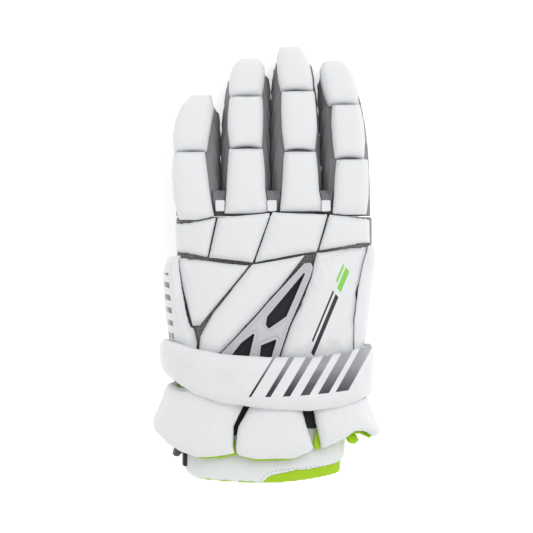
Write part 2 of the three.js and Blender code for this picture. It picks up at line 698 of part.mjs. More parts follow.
// The thumb's centre line as a smooth curve, and its sizes at a place from 0 to 1 along it.
const thumbCurve = new THREE.CatmullRomCurve3(
  thumbRows.map((r) => new THREE.Vector3(r.x * handWidth, r.y * palmLength, r.z * backHeight)));
function thumbAt(t) {
  const place = thumbCurve.getPoint(Math.min(t, 1));
  const tangent = thumbCurve.getTangent(Math.min(t, 1));
  if (t > 1) place.addScaledVector(tangent, (t - 1) * thumbCurve.getLength());
  const out = new THREE.Vector3().crossVectors(tangent, new THREE.Vector3(0, 0, 1)).normalize();
  const up = new THREE.Vector3().crossVectors(out, tangent);
  const stations = thumbRows.map((_, i) => i / (thumbRows.length - 1));
  const wide = (listAt(thumbRows.map((r) => r.wide), stations, t) * thumbWidth) / 2;
  const deep = (listAt(thumbRows.map((r) => r.deep), stations, t) * thumbDepth) / 2;
  return { place, out, up, tangent, wide, deep };
}

function thumbRing(t, offset) {
  const s = thumbAt(t);
  return evenSpaced(fingerSides, 0, 360).slice(0, -1).map((angle) => {
    const p = superellipse(angle, s.deep + offset, s.wide + offset, fingerSquareness);
    return s.place.clone().addScaledVector(s.out, p.across).addScaledVector(s.up, p.up);
  });
}

function thumbSolid(offset) {
  const rings = evenSpaced(6).map((t) => thumbRing(t, offset));
  const tip = thumbAt(1);
  for (const p of rings[rings.length - 1]) p.addScaledVector(tip.tangent, offset);
  return loft(rings);
}

function thumbPadSolid(pad) {
  const isTip = pad.name === "thumb_pad_tip";
  const pairAt = (u, v) => {
    const s = thumbAt(THREE.MathUtils.lerp(pad.from, pad.to, v));
    const across = (2 * u - 1) * listAt(pad.wide, padStations, v) * (thumbWidth / 2);
    const full = padLip + (1 - padLip) * Math.min(pillow(u), pillow(v));
    const sink = isTip ? thumbTipHook * THREE.MathUtils.smoothstep(v, 0.75, 1) : 0;
    const roll = isTip ? 0.6 * thumbTipHook * THREE.MathUtils.smoothstep(v, 0.6, 1) : 0;
    const outAt = (d) => s.place.clone().addScaledVector(s.up, across).addScaledVector(s.out, d);
    return { top: outAt(s.deep + thumbPadding * full - roll), bottom: outAt(s.deep - padUnderlap - sink) };
  };
  return slab(pairAt, edgeSpaced(padSteps), edgeSpaced(padSteps + (isTip ? 2 : 1)));
}

// A tube layer of the wristband, from the wrist seam to the rim that its column gives.
function tubeSolid(column, outerOffset, wall) {
  const angles = evenSpaced(bodySides, 0, 360).slice(0, -1);
  const ringAt = (share, offset) => angles.map((angle) => {
    const row = rowAt(rimRows, "angle", angle);
    const start = -palmLength - seatGap;
    const end = -palmLength - row[column] * wristbandLength;
    return bodyPoint(angle, THREE.MathUtils.lerp(start, end, share), offset);
  });
  const outer = [0, 0.5, 0.95, 1].map((s) => ringAt(s, outerOffset - (s === 1 ? wall * 0.25 : 0)));
  const inner = [1, 0.5, 0].map((s) => ringAt(s, outerOffset - wall));
  return loft([...outer, ...inner], true);
}

// A block in the valley between two fingers, trimmed by what lies round it.
function valleyBlock(leftFinger, rightFinger, place) {
  const left = fingerAt(leftFinger, place.from);
  const right = fingerAt(rightFinger, place.from);
  const middle = (left.x + left.half + right.x - right.half) / 2;
  const geometry = new THREE.BoxGeometry(place.width, place.to - place.from, place.top - place.bottom);
  const across = middle + (place.shift ?? 0);
  geometry.translate(across, (place.from + place.to) / 2, (place.top + place.bottom) / 2);
  return solidOf(geometry);
}

function shapeFrom(outline) {
  return new THREE.Shape(outline.map((p) => new THREE.Vector2(p.x * handWidth, p.y * palmLength)));
}

// A flat plate of an outline, lying level at a height.
function plateSolid(outline, height, thickness) {
  const geometry = new THREE.ExtrudeGeometry(shapeFrom(outline), { depth: thickness, bevelEnabled: false });
  geometry.translate(0, 0, height);
  return solidOf(geometry);
}

function biggest(solid) {
  return solid.decompose().reduce((a, b) => (a.volume() > b.volume() ? a : b));
}

function cut(solid, ...tools) {
  return biggest(tools.reduce((left, tool) => left.subtract(tool), solid));
}

const glove = new THREE.Group();
const assembly = new THREE.Group();
glove.add(assembly);

function addPart(name, solid, material) {
  const mesh = solid.getMesh();
  const geometry = new THREE.BufferGeometry();
  geometry.setAttribute("position", new THREE.BufferAttribute(new Float32Array(mesh.vertProperties), 3));
  geometry.setIndex(new THREE.BufferAttribute(new Uint32Array(mesh.triVerts), 1));
  geometry.computeVertexNormals();
  const part = new THREE.Mesh(geometry, material);
  part.name = name;
  assembly.add(part);
}

// Everything below the surface that the glove lies on, where its leather is pressed flat.
const floorBlock = solidOf(
  new THREE.BoxGeometry(floorReach, floorReach, floorReach).translate(0, 0, -floorReach / 2));

// The hand shell: an open pouch with a hole for each finger and the thumb.
const shellGrown = bodySolid(seatGap);
const shellOuter = bodySolid(0);
const fingerNames = Object.keys(fingers);
const stallGrown = {};
for (const finger of fingerNames) {
  stallGrown[finger] = loft(fingerRings(finger, seatGap, -palmLength * 0.02));
}
const allStalls = Object.values(stallGrown);
const thumbGrown = thumbSolid(seatGap);
const thumbBore = thumbSolid(-leatherWall);

function handShell() {
  const places = bodySections.filter((s) => s.along <= 1).map((s) => -s.along * palmLength);
  const rings = places.map((y) => bodyRing(y, -leatherWall));
  rings[0] = bodyRing(-leatherWall, -leatherWall);
  rings[rings.length - 1] = bodyRing(-palmLength - 1, -leatherWall);
  const hollow = loft(rings);
  const bores = fingerNames.map((finger) => {
    const start = fingerRing(finger, -leatherWall * 2, -leatherWall);
    return loft([start, fingerRing(finger, 1, -leatherWall)]);
  });
  return cut(shellOuter, hollow, thumbBore, ...bores);
}

addPart("hand_shell", handShell(), materials.greySuede);
// Each stall is pressed flat where it touches the one before it.
const earlierStalls = [];
for (const finger of fingerNames) {
  const stall = cut(stallSolid(finger), floorBlock, ...earlierStalls);
  addPart(`finger_stall_${finger}`, stall, materials.greySuede);
  earlierStalls[0] = loft(fingerRings(finger, stallContactGap, seatGap));
}
const thumbStall = cut(thumbSolid(0), shellGrown, thumbBore, floorBlock);
addPart("thumb_stall", thumbStall, materials.greySuede);

// The pads on the fingers, the thumb and the back of the hand
const backPadsGrown = Object.values(backPads).map((rows) => backPadSolid(rows, seatGap * 1.5));
const fingerPadsGrown = fingerPads.map((pad) => fingerPadSolid(pad, seatGap));
for (const pad of fingerPads) {
  const solid = cut(fingerPadSolid(pad), shellGrown, ...allStalls, ...backPadsGrown, floorBlock);
  addPart(`${pad.finger}_pad_${pad.part}`, solid, materials.whiteLeather);
}
for (const pad of thumbPads) {
  addPart(pad.name, cut(thumbPadSolid(pad), thumbGrown, shellGrown, floorBlock), materials.whiteLeather);
}
for (const [name, rows] of Object.entries(backPads)) {
  addPart(name, cut(backPadSolid(rows), shellGrown, ...allStalls), materials.whiteLeather);
}

// The webs and white tabs between the fingers
const valleys = [["pinky", "ring"], ["ring", "middle"], ["middle", "index"]];
for (const [left, right] of valleys) {
  const webTop = fingerCentreHeight + fingerHeight * 0.4;
  const webFoot = fingerCentreHeight - webDrop;
  const web = { from: seatGap * 2, to: webReach, width: webWidth, bottom: webFoot, top: webTop };
  const webSolid = cut(valleyBlock(left, right, web), ...allStalls, ...fingerPadsGrown, ...backPadsGrown);
  addPart(`finger_web_${left}`, webSolid, materials.greySuede);
  const tabStart = tabLength / 2;
  const tab = { from: tabStart, to: tabStart + tabLength, width: tabWidth, shift: tabShifts[left] * handWidth,
    bottom: webTop + seatGap, top: backHeight + tabRise };
  const tabSolid = cut(valleyBlock(left, right, tab), ...allStalls, ...fingerPadsGrown, ...backPadsGrown);
  addPart(`finger_tab_${left}`, tabSolid, materials.whiteLeather);
}

// The vent: a plastic frame over a mesh sheet
const ventSeat = backHeight + seatGap;
const meshPlate = plateSolid(ventOutline, ventSeat, meshThickness);
addPart("vent_mesh", cut(meshPlate, shellGrown, ...backPadsGrown), materials.blackMesh);
const framePlate = plateSolid(ventOutline, ventSeat + meshThickness + seatGap, ventThickness);
const ventHoles = ventOpenings.map((opening) => plateSolid(opening, 0, backHeight * 2));
addPart("vent_frame", cut(framePlate, ...ventHoles, ...backPadsGrown), materials.silverPlastic);

// Pads down the sides of the hand
const sideLayers = {
  ulnar: { sideOffset: -sideTuck, thickness: ulnarSidePadding + sideTuck, steps: 4, lip: 0.55 },
  radial: { sideOffset: -sideTuck, thickness: radialSidePadding + sideTuck, steps: 4, lip: 0.55 },
};
for (const [name, rows] of Object.entries(sideRows)) {
  const solid = cut(wrapSolid(rows, sideLayers[name]), shellGrown, ...backPadsGrown, thumbGrown);
  addPart(`side_pad_${name}`, solid, materials.whiteLeather);
}

// The wristband: a white outer tube on a lime lining tube
addPart("wristband", tubeSolid("cut", 0, wristbandWall), materials.whiteLeather);
addPart("wristband_lining", tubeSolid("ends", -wristbandWall - seatGap, liningWall), materials.limeLining);

// The cuff: three padded petals over lime linings, mesh gussets between them, and the band on top
const liningLayer = { sideOffset: liningOffset, thickness: liningWall, lip: 1,
  aboveShow: liningTuck, belowShow: liningShow };
const petalOffset = liningOffset + liningWall + liningGap;
const petalLayer = { sideOffset: petalOffset, thickness: petalPadding, lip: 0.5 };
const petalsGrown = [];
const liningsGrown = [];
for (const [name, rows] of Object.entries(petalRows)) {
  const steps = name === "centre" ? 3 : 8;
  addPart(`cuff_petal_${name}`, cut(wrapSolid(rows, { ...petalLayer, steps }), floorBlock),
    materials.whiteLeather);
  petalsGrown.push(wrapSolid(rows, { ...petalLayer, steps, grow: seatGap }));
  const lining = wrapSolid(rows, { ...liningLayer, ...liningEdges[name], steps });
  const liningCut = cut(lining, floorBlock, ...liningsGrown);
  addPart(`petal_lining_${name}`, liningCut, materials.limeLining);
  liningsGrown.push(wrapSolid(rows, { ...liningLayer, ...liningEdges[name], steps, grow: seatGap }));
}
for (const [name, rows] of Object.entries(gussetRows)) {
  const layer = { sideOffset: gussetOffset, thickness: gussetThickness, steps: 2, along: 3, lip: 1 };
  addPart(`cuff_gusset_${name}`, wrapSolid(rows, layer), materials.blackMesh);
}
const bandLayer = { sideOffset: bandSideClearance, topOffset: bandClearance,
  thickness: bandSidePadding, topThickness: bandPadding, steps: 15, along: 4 };
addPart("cuff_band", cut(wrapSolid(bandRows, bandLayer), ...petalsGrown, floorBlock), materials.whiteLeather);

// Small fittings at the cuff
const tubeGrown = tubeSolid("ends", seatGap, wristbandWall * 2);
const strapLayer = { sideOffset: -1, thickness: webbingThickness + 1, steps: 5, along: 2, lip: 1 };
addPart("closure_strap", cut(wrapSolid(strapRows, strapLayer), tubeGrown), materials.blackWebbing);
const loopOffset = webbingThickness + 2 * seatGap;
const loopLayer = { sideOffset: loopOffset, thickness: loopThickness, steps: 2, along: 3, lip: 0.8 };
addPart("elastic_loop", wrapSolid(loopRows, loopLayer), materials.greySuede);
const tabLayer = { sideOffset: -2 * seatGap, thickness: tabThickness, steps: 2, along: 3, lip: 1 };
addPart("pull_tab", cut(wrapSolid(tabRows, tabLayer), ...liningsGrown, tubeGrown), materials.limeLining);

// The glove's frame: centred over the surface that it lies on
const box = new THREE.Box3().setFromObject(assembly);
const centre = box.getCenter(new THREE.Vector3());
assembly.position.set(-centre.x, -centre.y, -box.min.z);

export default glove;
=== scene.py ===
"""A padded lacrosse glove lying on its palm: leather, suede, lining and plastic made round its CAD frame."""

import bmesh
import bpy
import numpy as np
from bpy.props import FloatProperty, FloatVectorProperty, IntProperty, PointerProperty
from bpy.types import Operator, Panel, PropertyGroup
from mathutils import Matrix, Vector, noise
from mathutils.bvhtree import BVHTree
from mathutils.kdtree import KDTree


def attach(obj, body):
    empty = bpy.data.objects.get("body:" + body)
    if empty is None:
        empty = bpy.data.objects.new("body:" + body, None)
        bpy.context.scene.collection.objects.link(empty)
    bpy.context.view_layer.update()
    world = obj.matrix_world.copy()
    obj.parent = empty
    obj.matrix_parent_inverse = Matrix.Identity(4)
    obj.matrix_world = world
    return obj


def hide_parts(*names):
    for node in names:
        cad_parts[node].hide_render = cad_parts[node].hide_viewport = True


bl_info = {
    "name": "Padded Lacrosse Glove",
    "version": (1, 0, 0),
    "blender": (4, 5, 0),
    "location": "View3D > Sidebar > Glove",
    "description": "Makes the leather pads, suede hand, lining and cuff of a lacrosse glove",
    "category": "Object",
}

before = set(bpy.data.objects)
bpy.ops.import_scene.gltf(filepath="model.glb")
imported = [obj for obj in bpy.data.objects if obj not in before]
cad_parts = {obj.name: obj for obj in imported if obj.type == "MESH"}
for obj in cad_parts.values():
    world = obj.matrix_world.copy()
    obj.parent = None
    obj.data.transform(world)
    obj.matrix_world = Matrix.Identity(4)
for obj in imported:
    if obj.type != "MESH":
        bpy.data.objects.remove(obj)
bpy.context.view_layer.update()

MM = 0.001
# The photograph's scale, and the point of it that lies over the frame's origin
PIXEL = 0.75 * MM
ORIGIN_COLUMN = 267.44
ORIGIN_ROW = 264.12
# The height of the hand's middle, about which the sides and the cuff are wrapped
HAND_HEIGHT = 45 * MM
# A height well above the glove
ABOVE = 200 * MM


# Sizes and colours


class GLOVE_PG_padding(PropertyGroup):
    pad_grid: FloatProperty(
        name="Pad Grid", description="Face size of a pad's skin before it is filled",
        default=0.0012, min=0.001, max=0.006, unit="LENGTH")
    seam_ease: FloatProperty(
        name="Seam Ease", description="How far a pad's skin stays inside its sides",
        default=0.0003, min=0.0, max=0.002, unit="LENGTH")
    edge_ease: FloatProperty(
        name="Edge Ease", description="How far the rounding of its edges may draw a skin's outline in",
        default=0.0005, min=0.0, max=0.004, unit="LENGTH")
    round_over: FloatProperty(
        name="Round Over", description="How far the rounding of its edges may lower a skin's top",
        default=0.0014, min=0.0, max=0.006, unit="LENGTH")
    swell: FloatProperty(
        name="Swell", description="How far the filling may push the leather outwards",
        default=0.0011, min=0.0, max=0.006, unit="LENGTH")
    pressure: FloatProperty(
        name="Filling Pressure", description="Pressure of the foam against the leather",
        default=4.0, min=0.0, max=20.0)
    steps: IntProperty(
        name="Filling Steps", description="Frames of cloth simulation that each pad gets",
        default=16, min=2, max=60)
    wall_wave: FloatProperty(
        name="Wall Wave", description="Height of one wave in the walls between two fingers",
        default=0.009, min=0.004, max=0.03, unit="LENGTH")
    wall_bend: FloatProperty(
        name="Wall Bend", description="How far that wave bends the walls sideways",
        default=0.0009, min=0.0, max=0.002, unit="LENGTH")
    ripple: FloatProperty(
        name="Ripple", description="Height of the leather's slow unevenness",
        default=0.00022, min=0.0, max=0.002, unit="LENGTH")


class GLOVE_PG_colours(PropertyGroup):
    leather: FloatVectorProperty(
        name="Leather", description="White leather of the pads", subtype="COLOR",
        default=(0.79, 0.80, 0.815), min=0.0, max=1.0)
    suede: FloatVectorProperty(
        name="Suede", description="Grey perforated suede of the fingers and palm", subtype="COLOR",
        default=(0.38, 0.382, 0.386), min=0.0, max=1.0)
    lining: FloatVectorProperty(
        name="Lining", description="Lime cloth inside the cuff", subtype="COLOR",
        default=(0.40, 0.64, 0.03), min=0.0, max=1.0)
    mesh: FloatVectorProperty(
        name="Mesh", description="Black mesh of the vent and gussets", subtype="COLOR",
        default=(0.012, 0.012, 0.016), min=0.0, max=1.0)
    plastic: FloatVectorProperty(
        name="Plastic", description="Silver plastic of the vent frame", subtype="COLOR",
        default=(0.58, 0.59, 0.61), min=0.0, max=1.0)
    elastic: FloatVectorProperty(
        name="Elastic", description="Grey woven elastic loop", subtype="COLOR",
        default=(0.06, 0.06, 0.065), min=0.0, max=1.0)
    thread: FloatVectorProperty(
        name="Thread", description="Pale stitches of the wristband", subtype="COLOR",
        default=(0.5, 0.5, 0.51), min=0.0, max=1.0)
    webbing: FloatVectorProperty(
        name="Webbing", description="Black woven strap", subtype="COLOR",
        default=(0.03, 0.031, 0.035), min=0.0, max=1.0)
    print_dark: FloatVectorProperty(
        name="Dark Print", description="Dark bars printed on the leather", subtype="COLOR",
        default=(0.022, 0.023, 0.028), min=0.0, max=1.0)
    print_silver: FloatVectorProperty(
        name="Silver Print", description="Light end of the bars printed on the band", subtype="COLOR",
        default=(0.42, 0.43, 0.45), min=0.0, max=1.0)
    print_grey: FloatVectorProperty(
        name="Grey Print", description="Grey bars printed on the side pad", subtype="COLOR",
        default=(0.19, 0.19, 0.2), min=0.0, max=1.0)
    print_lime: FloatVectorProperty(
        name="Lime Print", description="Lime bars printed on the back of the hand", subtype="COLOR",
        default=(0.25, 0.64, 0.09), min=0.0, max=1.0)


class GLOVE_PG_stage(PropertyGroup):
    floor: FloatVectorProperty(
        name="Floor", description="Colour of the plain floor", subtype="COLOR",
        default=(0.93, 0.93, 0.93), min=0.0, max=1.0)
    glow: FloatProperty(
        name="Floor Glow", description="Light that the floor gives by itself", default=0.45, min=0.0,
        max=5.0)
    sky: FloatProperty(
        name="Room Light", description="Even light from all round", default=0.74, min=0.0, max=5.0)
    key: FloatProperty(
        name="Soft Box", description="Power of the soft light overhead", default=15.0, min=0.0,
        max=500.0, unit="POWER")
    camera_height: FloatProperty(
        name="Camera Height", description="Distance of the camera over the glove", default=9.0,
        min=1.0, max=40.0, unit="LENGTH")
    view_width: FloatProperty(
        name="View Width", description="Width that the picture shows at the glove's height",
        default=0.39975, min=0.05, max=2.0, unit="LENGTH")


# Finishes


class Value:
    """A node socket. Sums, products and shares of values add their Math nodes."""

    def __init__(self, finish, socket):
        self.finish = finish
        self.socket = socket

    def _math(self, operation, *terms):
        return self.finish.node(
            "ShaderNodeMath", {"operation": operation}, dict(enumerate(terms)))

    def __add__(self, other):
        return self._math("ADD", self, other)

    def __radd__(self, other):
        return self._math("ADD", other, self)

    def __sub__(self, other):
        return self._math("SUBTRACT", self, other)

    def __rsub__(self, other):
        return self._math("SUBTRACT", other, self)

    def __mul__(self, other):
        return self._math("MULTIPLY", self, other)

    def __rmul__(self, other):
        return self._math("MULTIPLY", other, self)

    def __truediv__(self, other):
        return self._math("DIVIDE", self, other)

    def __rtruediv__(self, other):
        return self._math("DIVIDE", other, self)

    def __pow__(self, other):
        return self._math("POWER", self, other)

    def __mod__(self, other):
        return self._math("FLOORED_MODULO", self, other)

    def __floordiv__(self, other):
        return self._math("FLOOR", self / other)

    def __abs__(self):
        return self._math("ABSOLUTE", self)

    def most(self, other):
        return self._math("MAXIMUM", self, other)

    def wave(self):
        return self._math("SINE", self)


class Finish:
    """One material and its nodes."""

    def __init__(self, name, **uniform):
        self.material = bpy.data.materials.new(name)
        self.material.use_nodes = True
        self.nodes = self.material.node_tree.nodes
        self.links = self.material.node_tree.links
        self.nodes.clear()
        self.surface = self.nodes.new("ShaderNodeBsdfPrincipled")
        out = self.nodes.new("ShaderNodeOutputMaterial")
        self.links.new(self.surface.outputs["BSDF"], out.inputs["Surface"])
        for socket, value in uniform.items():
            self.surface.inputs[socket.replace("_", " ")].default_value = value
        spot = self.node("ShaderNodeTexCoord", {}, {}, "Object")
        # The place on the piece in millimetres
        self.spot = self.node(
            "ShaderNodeVectorMath", {"operation": "SCALE"}, {0: spot, "Scale": 1 / MM})
        parts = {}
        for axis in "XYZ":
            parts[axis] = self.node("ShaderNodeSeparateXYZ", {}, {0: self.spot}, axis)
        self.x, self.y, self.z = parts["X"], parts["Y"], parts["Z"]

    def node(self, kind, settings, sockets, result=0):
        """Any node: its type, its settings, its sockets' values or links, and the output wanted."""
        made = self.nodes.new(kind)
        for key, value in settings.items():
            setattr(made, key, value)
        for key, value in sockets.items():
            if isinstance(value, Value):
                self.links.new(value.socket, made.inputs[key])
            else:
                made.inputs[key].default_value = value
        return Value(self, made.outputs[result])

    def feed(self, socket, value):
        """Links a varying value to one of the surface's sockets."""
        self.links.new(value.socket, self.surface.inputs[socket])

    def ease(self, value, low, high):
        """0 where a value is under low, 1 where it is over high, and a smooth rise between."""
        return self.node(
            "ShaderNodeMapRange", {"interpolation_type": "SMOOTHSTEP"}, {"Value": value, 1: low, 2: high})

    def between(self, value, low, high, soft):
        """1 where a value lies between two others, with soft edges."""
        rise = self.ease(value, low - soft, low + soft)
        fall = self.ease(value, high - soft, high + soft)
        return rise - fall

    def noise(self, scale, detail=2.0, rough=0.5, place=None):
        """Cloudy values between 0 and 1, with about that many clouds to a millimetre."""
        return self.node(
            "ShaderNodeTexNoise", {},
            {"Vector": place or self.spot, "Scale": scale, "Detail": detail, "Roughness": rough})

    def cells(self, scale, loose):
        """Distances from the middles of cells, which lie in rows where they aren't loose."""
        return self.node(
            "ShaderNodeTexVoronoi", {"feature": "F1"},
            {"Vector": self.spot, "Scale": scale, "Randomness": loose}, "Distance")

    def stretched(self, x, y, z):
        """The place on the piece, scaled along each axis."""
        return self.node(
            "ShaderNodeVectorMath", {"operation": "MULTIPLY"}, {0: self.spot, 1: (x, y, z)})

    def mix(self, share, first, second):
        """One colour turning into another."""
        pair = [c if isinstance(c, Value) else (*c, 1.0)[:4] for c in (first, second)]
        return self.node(
            "ShaderNodeMix", {"data_type": "RGBA"}, {0: share, 6: pair[0], 7: pair[1]}, 2)

    def marked(self, name):
        """What the making of the mesh has marked on its points."""
        return self.node(
            "ShaderNodeAttribute", {"attribute_name": name, "attribute_type": "GEOMETRY"}, {}, "Fac")

    def bump(self, height, depth, strength=1.0, under=None):
        """Small relief, its depth in millimetres."""
        sockets = {"Height": height, "Distance": depth * MM, "Strength": strength}
        if under:
            sockets["Normal"] = under
        return self.node("ShaderNodeBump", {}, sockets)


def shade(colour, share):
    """A colour made darker, or brighter where the share is over 1."""
    return tuple(c * share for c in colour[:3])


def leather_finish(name, colours, print_on=None):
    """White leather: fine grain, a little mottling, painted shade in its folds, and its print if it has one.
    """
    f = Finish(name, IOR=1.46, Sheen_Weight=0.06, Sheen_Roughness=0.5)
    mottle = f.noise(0.045, 3.0, 0.55)
    streak = f.noise(0.16, 3.0, 0.6, f.stretched(1.0, 0.16, 0.5))
    tone = f.mix(f.ease(mottle, 0.35, 0.65), shade(colours.leather, 0.972), colours.leather)
    tone = f.mix(f.ease(streak, 0.55, 0.75) * 0.35, tone, shade(colours.leather, 0.93))
    # Painted shade: the leather is darker where the mesh marks a pressed fold
    fold_shade = f.marked("fold_shade")
    tone = f.mix(f.ease(fold_shade, 0.1, 1.0) * 0.7, tone, shade(colours.leather, 0.42))
    rough = 0.5 + (mottle - 0.5) * 0.18
    if print_on:
        tone, inked = print_on(f, tone, colours)
        rough = rough - inked * 0.16
    grain = f.cells(0.85, 1.0)
    pores = f.noise(2.6, 2.0, 0.6)
    crease = f.noise(0.09, 4.0, 0.6, f.stretched(1.0, 0.35, 0.6))
    normal = f.bump(crease, 0.45, 0.5)
    normal = f.bump(grain * 0.7 + pores * 0.3, 0.11, 0.45, normal)
    f.feed("Base Color", tone)
    f.feed("Roughness", rough)
    f.feed("Normal", normal)
    return f.material


# The slanted bars printed on the band, in millimetres: they follow a bowed middle line, and each
# bar is wider than the last by a share of the step
BAND_BARS = {
    "middle": -83.2, "bow": 0.0011, "bow_at": -12.0, "fall": 0.012, "lean": 0.62, "start": -1.0,
    "step": 13.2, "first_bar": -4.0, "width": 0.24, "wider": 0.105, "from": -3.0, "to": 74.6,
    "half_height": 16.5,
}

# The bars printed up the panel by the vent, in millimetres: the line that they follow, the slant of
# their ends, and each bar's start, end, middle line and half width
PANEL_LINE = {"from": (31.6, -68.0), "to": (59.4, -1.5), "slant": 0.55}
PANEL_BARS = {
    "dark": ((2.0, 50.0, 1.9, 1.5), (9.0, 50.0, -1.9, 0.7)),
    "lime": ((54.0, 71.0, 1.6, 1.9), (57.0, 71.0, -2.4, 0.8)),
}

# The grey bars on the pad at the little finger's side, in millimetres, with their share of each step
SIDE_BARS = {
    "step": 9.2, "offset": 92.0, "slant": 0.35, "from": 0.22, "to": 0.66, "edge": -75.8, "edge_at": -32.0,
    "edge_lean": -0.09, "half_width": 3.6, "low": -59.0, "high": -6.5,
}


def bar_pair(f, along, across, rows):
    """Bars along a line: each row gives its start, end, middle line and half width in millimetres."""
    shown = None
    for start, end, middle, half in rows:
        lean = along + across * PANEL_LINE["slant"]
        bar = f.between(lean, start, end, 0.25) * f.between(across, middle - half, middle + half, 0.2)
        shown = bar if shown is None else shown.most(bar)
    return shown


def along_line(f, start, end):
    """Distances along and across a line between two points of the plan, in millimetres."""
    run = Vector(end) - Vector(start)
    run.normalize()
    x = f.x - start[0]
    y = f.y - start[1]
    return x * run.x + y * run.y, x * run.y - y * run.x


def upward(f):
    """1 on faces that look up from the back of the hand."""
    normal = f.node("ShaderNodeNewGeometry", {}, {}, "Normal")
    height = f.node("ShaderNodeSeparateXYZ", {}, {0: normal}, "Z")
    return f.ease(height, 0.1, 0.3)


def band_print(f, tone, colours):
    """Slanted bars on the band that widen from left to right and fade from black to silver."""
    row = BAND_BARS
    bow = (f.x - row["bow_at"]) * (f.x - row["bow_at"]) * row["bow"]
    height = f.y - (row["middle"] + bow - f.x * row["fall"])
    lean = f.x - height * row["lean"] - row["start"]
    step = (lean - row["first_bar"]) / row["step"]
    count = step // 1.0
    share = step % 1.0
    width = row["width"] + count * row["wider"]
    bars = f.ease(share, 0.0, 0.03) - f.ease(share - width, -0.03, 0.0)
    length = f.between(lean, row["from"], row["to"], 0.2)
    shown = bars * length * f.between(height, -row["half_height"], row["half_height"], 0.25)
    shown = shown * upward(f)
    rim = 1.0 - f.between(share, 0.035, 0.2, 0.01).most(f.ease(share, 0.2, 0.22))
    glow = f.ease(height + lean * 0.16, -12.0, 20.0)
    ink = f.mix(glow * 0.85, colours.print_dark, colours.print_silver)
    ink = f.mix(rim * 0.5, ink, colours.print_dark)
    return f.mix(shown, tone, ink), shown


def panel_print(f, tone, colours):
    """Two thin dark bars up the panel by the vent, and two short lime ones at their end."""
    along, across = along_line(f, PANEL_LINE["from"], PANEL_LINE["to"])
    look = upward(f)
    dark = bar_pair(f, along, across, PANEL_BARS["dark"]) * look
    lime = bar_pair(f, along, across, PANEL_BARS["lime"]) * look
    inked = f.mix(dark, tone, colours.print_dark)
    return f.mix(lime, inked, colours.print_lime), dark.most(lime)


def side_print(f, tone, colours):
    """A row of short grey bars down the pad on the little finger's side."""
    row = SIDE_BARS
    share = ((f.y + f.x * row["slant"] + row["offset"]) / row["step"]) % 1.0
    bars = f.between(share, row["from"], row["to"], 0.04)
    edge = row["edge"] + (f.y - row["edge_at"]) * row["edge_lean"]
    across = f.between(f.x - edge, -row["half_width"], row["half_width"], 0.25)
    shown = bars * across * f.between(f.y, row["low"], row["high"], 0.2)
    shown = shown * upward(f)
    return f.mix(shown, tone, colours.print_grey), shown


def suede_finish(name, colours, holes=1.0, shaded_to=1.0):
    """Grey knit-backed suede with fine rows of holes; a darker copy of it is the same suede in painted
    shade.
    """
    f = Finish(name, IOR=1.4, Sheen_Weight=0.25, Sheen_Roughness=0.6)
    f.surface.inputs["Sheen Tint"].default_value = (0.8, 0.8, 0.82, 1.0)
    mottle = f.noise(0.12, 4.0, 0.6)
    nap = f.noise(1.6, 3.0, 0.7)
    dots = f.cells(0.42, 0.12)
    hole = (1.0 - f.ease(dots, 0.3, 0.48)) * holes
    # Under 1 this darkens the whole suede as painted shade, not as another colour of suede
    suede = shade(colours.suede, shaded_to)
    tone = f.mix(f.ease(mottle, 0.3, 0.7), shade(suede, 0.95), shade(suede, 1.4))
    tone = f.mix(f.ease(nap, 0.35, 0.7) * 0.3, tone, shade(suede, 1.7))
    tone = f.mix(hole * 0.8, tone, shade(suede, 0.2))
    # Painted shade in the folds of the suede where the fingers part
    tone = f.mix(f.ease(f.marked("fold_shade"), 0.1, 1.0) * 0.75, tone, shade(suede, 0.15))
    normal = f.bump(nap, 0.12, 0.6)
    normal = f.bump(1.0 - hole, 0.25, 0.7, normal)
    f.feed("Base Color", tone)
    f.feed("Roughness", 0.82 + (nap - 0.5) * 0.2)
    f.feed("Normal", normal)
    return f.material


def lining_finish(name, colours):
    """Lime cloth with a fine weave and a plain pattern of crossing pale lines."""
    f = Finish(name, IOR=1.4, Sheen_Weight=0.2, Sheen_Roughness=0.5)
    thread = (f.x * 7.5).wave() * (f.y * 7.5).wave() + (f.z * 7.5).wave() * 0.5
    rising = abs(((f.x * 0.8 + f.y + f.z * 0.5) / 10.0) % 1.0 - 0.5)
    falling = abs(((f.x * 0.5 - f.y * 1.4 + f.z) / 17.0) % 1.0 - 0.5)
    line = (1.0 - f.ease(rising, 0.04, 0.065)).most(1.0 - f.ease(falling, 0.035, 0.05))
    patch = f.ease(f.noise(0.06, 1.0), 0.3, 0.38)
    tone = f.mix(f.ease(f.noise(0.3, 3.0), 0.3, 0.7), shade(colours.lining, 0.9), colours.lining)
    tone = f.mix(line * patch * 0.9, tone, (0.82, 0.9, 0.66))
    tone = f.mix(f.ease(thread, 0.2, 1.0) * 0.12, tone, shade(colours.lining, 0.5))
    f.feed("Base Color", tone)
    f.feed("Roughness", 0.74 + thread * 0.05)
    f.feed("Normal", f.bump(thread, 0.08, 0.6))
    return f.material


def mesh_finish(name, colours):
    """Black spacer mesh: staggered round holes in a shiny knit."""
    f = Finish(name, IOR=1.5, Specular_IOR_Level=0.15)
    row = f.y / 1.9
    shift = (row // 1.0) * 0.5
    across = abs((f.x / 2.1 + f.z / 2.1 + shift) % 1.0 - 0.5)
    along = abs(row % 1.0 - 0.5)
    reach = (across * across + along * along) ** 0.5
    hole = 1.0 - f.ease(reach, 0.22, 0.36)
    knit = f.noise(1.3, 3.0, 0.6)
    tone = f.mix(hole, shade(colours.mesh, 2.2), shade(colours.mesh, 0.1))
    tone = f.mix(f.ease(knit, 0.45, 0.7) * 0.3, tone, shade(colours.mesh, 3.0))
    f.feed("Base Color", tone)
    f.feed("Roughness", 0.55 + hole * 0.35)
    f.feed("Normal", f.bump(1.0 - hole, 0.4, 0.9))
    return f.material


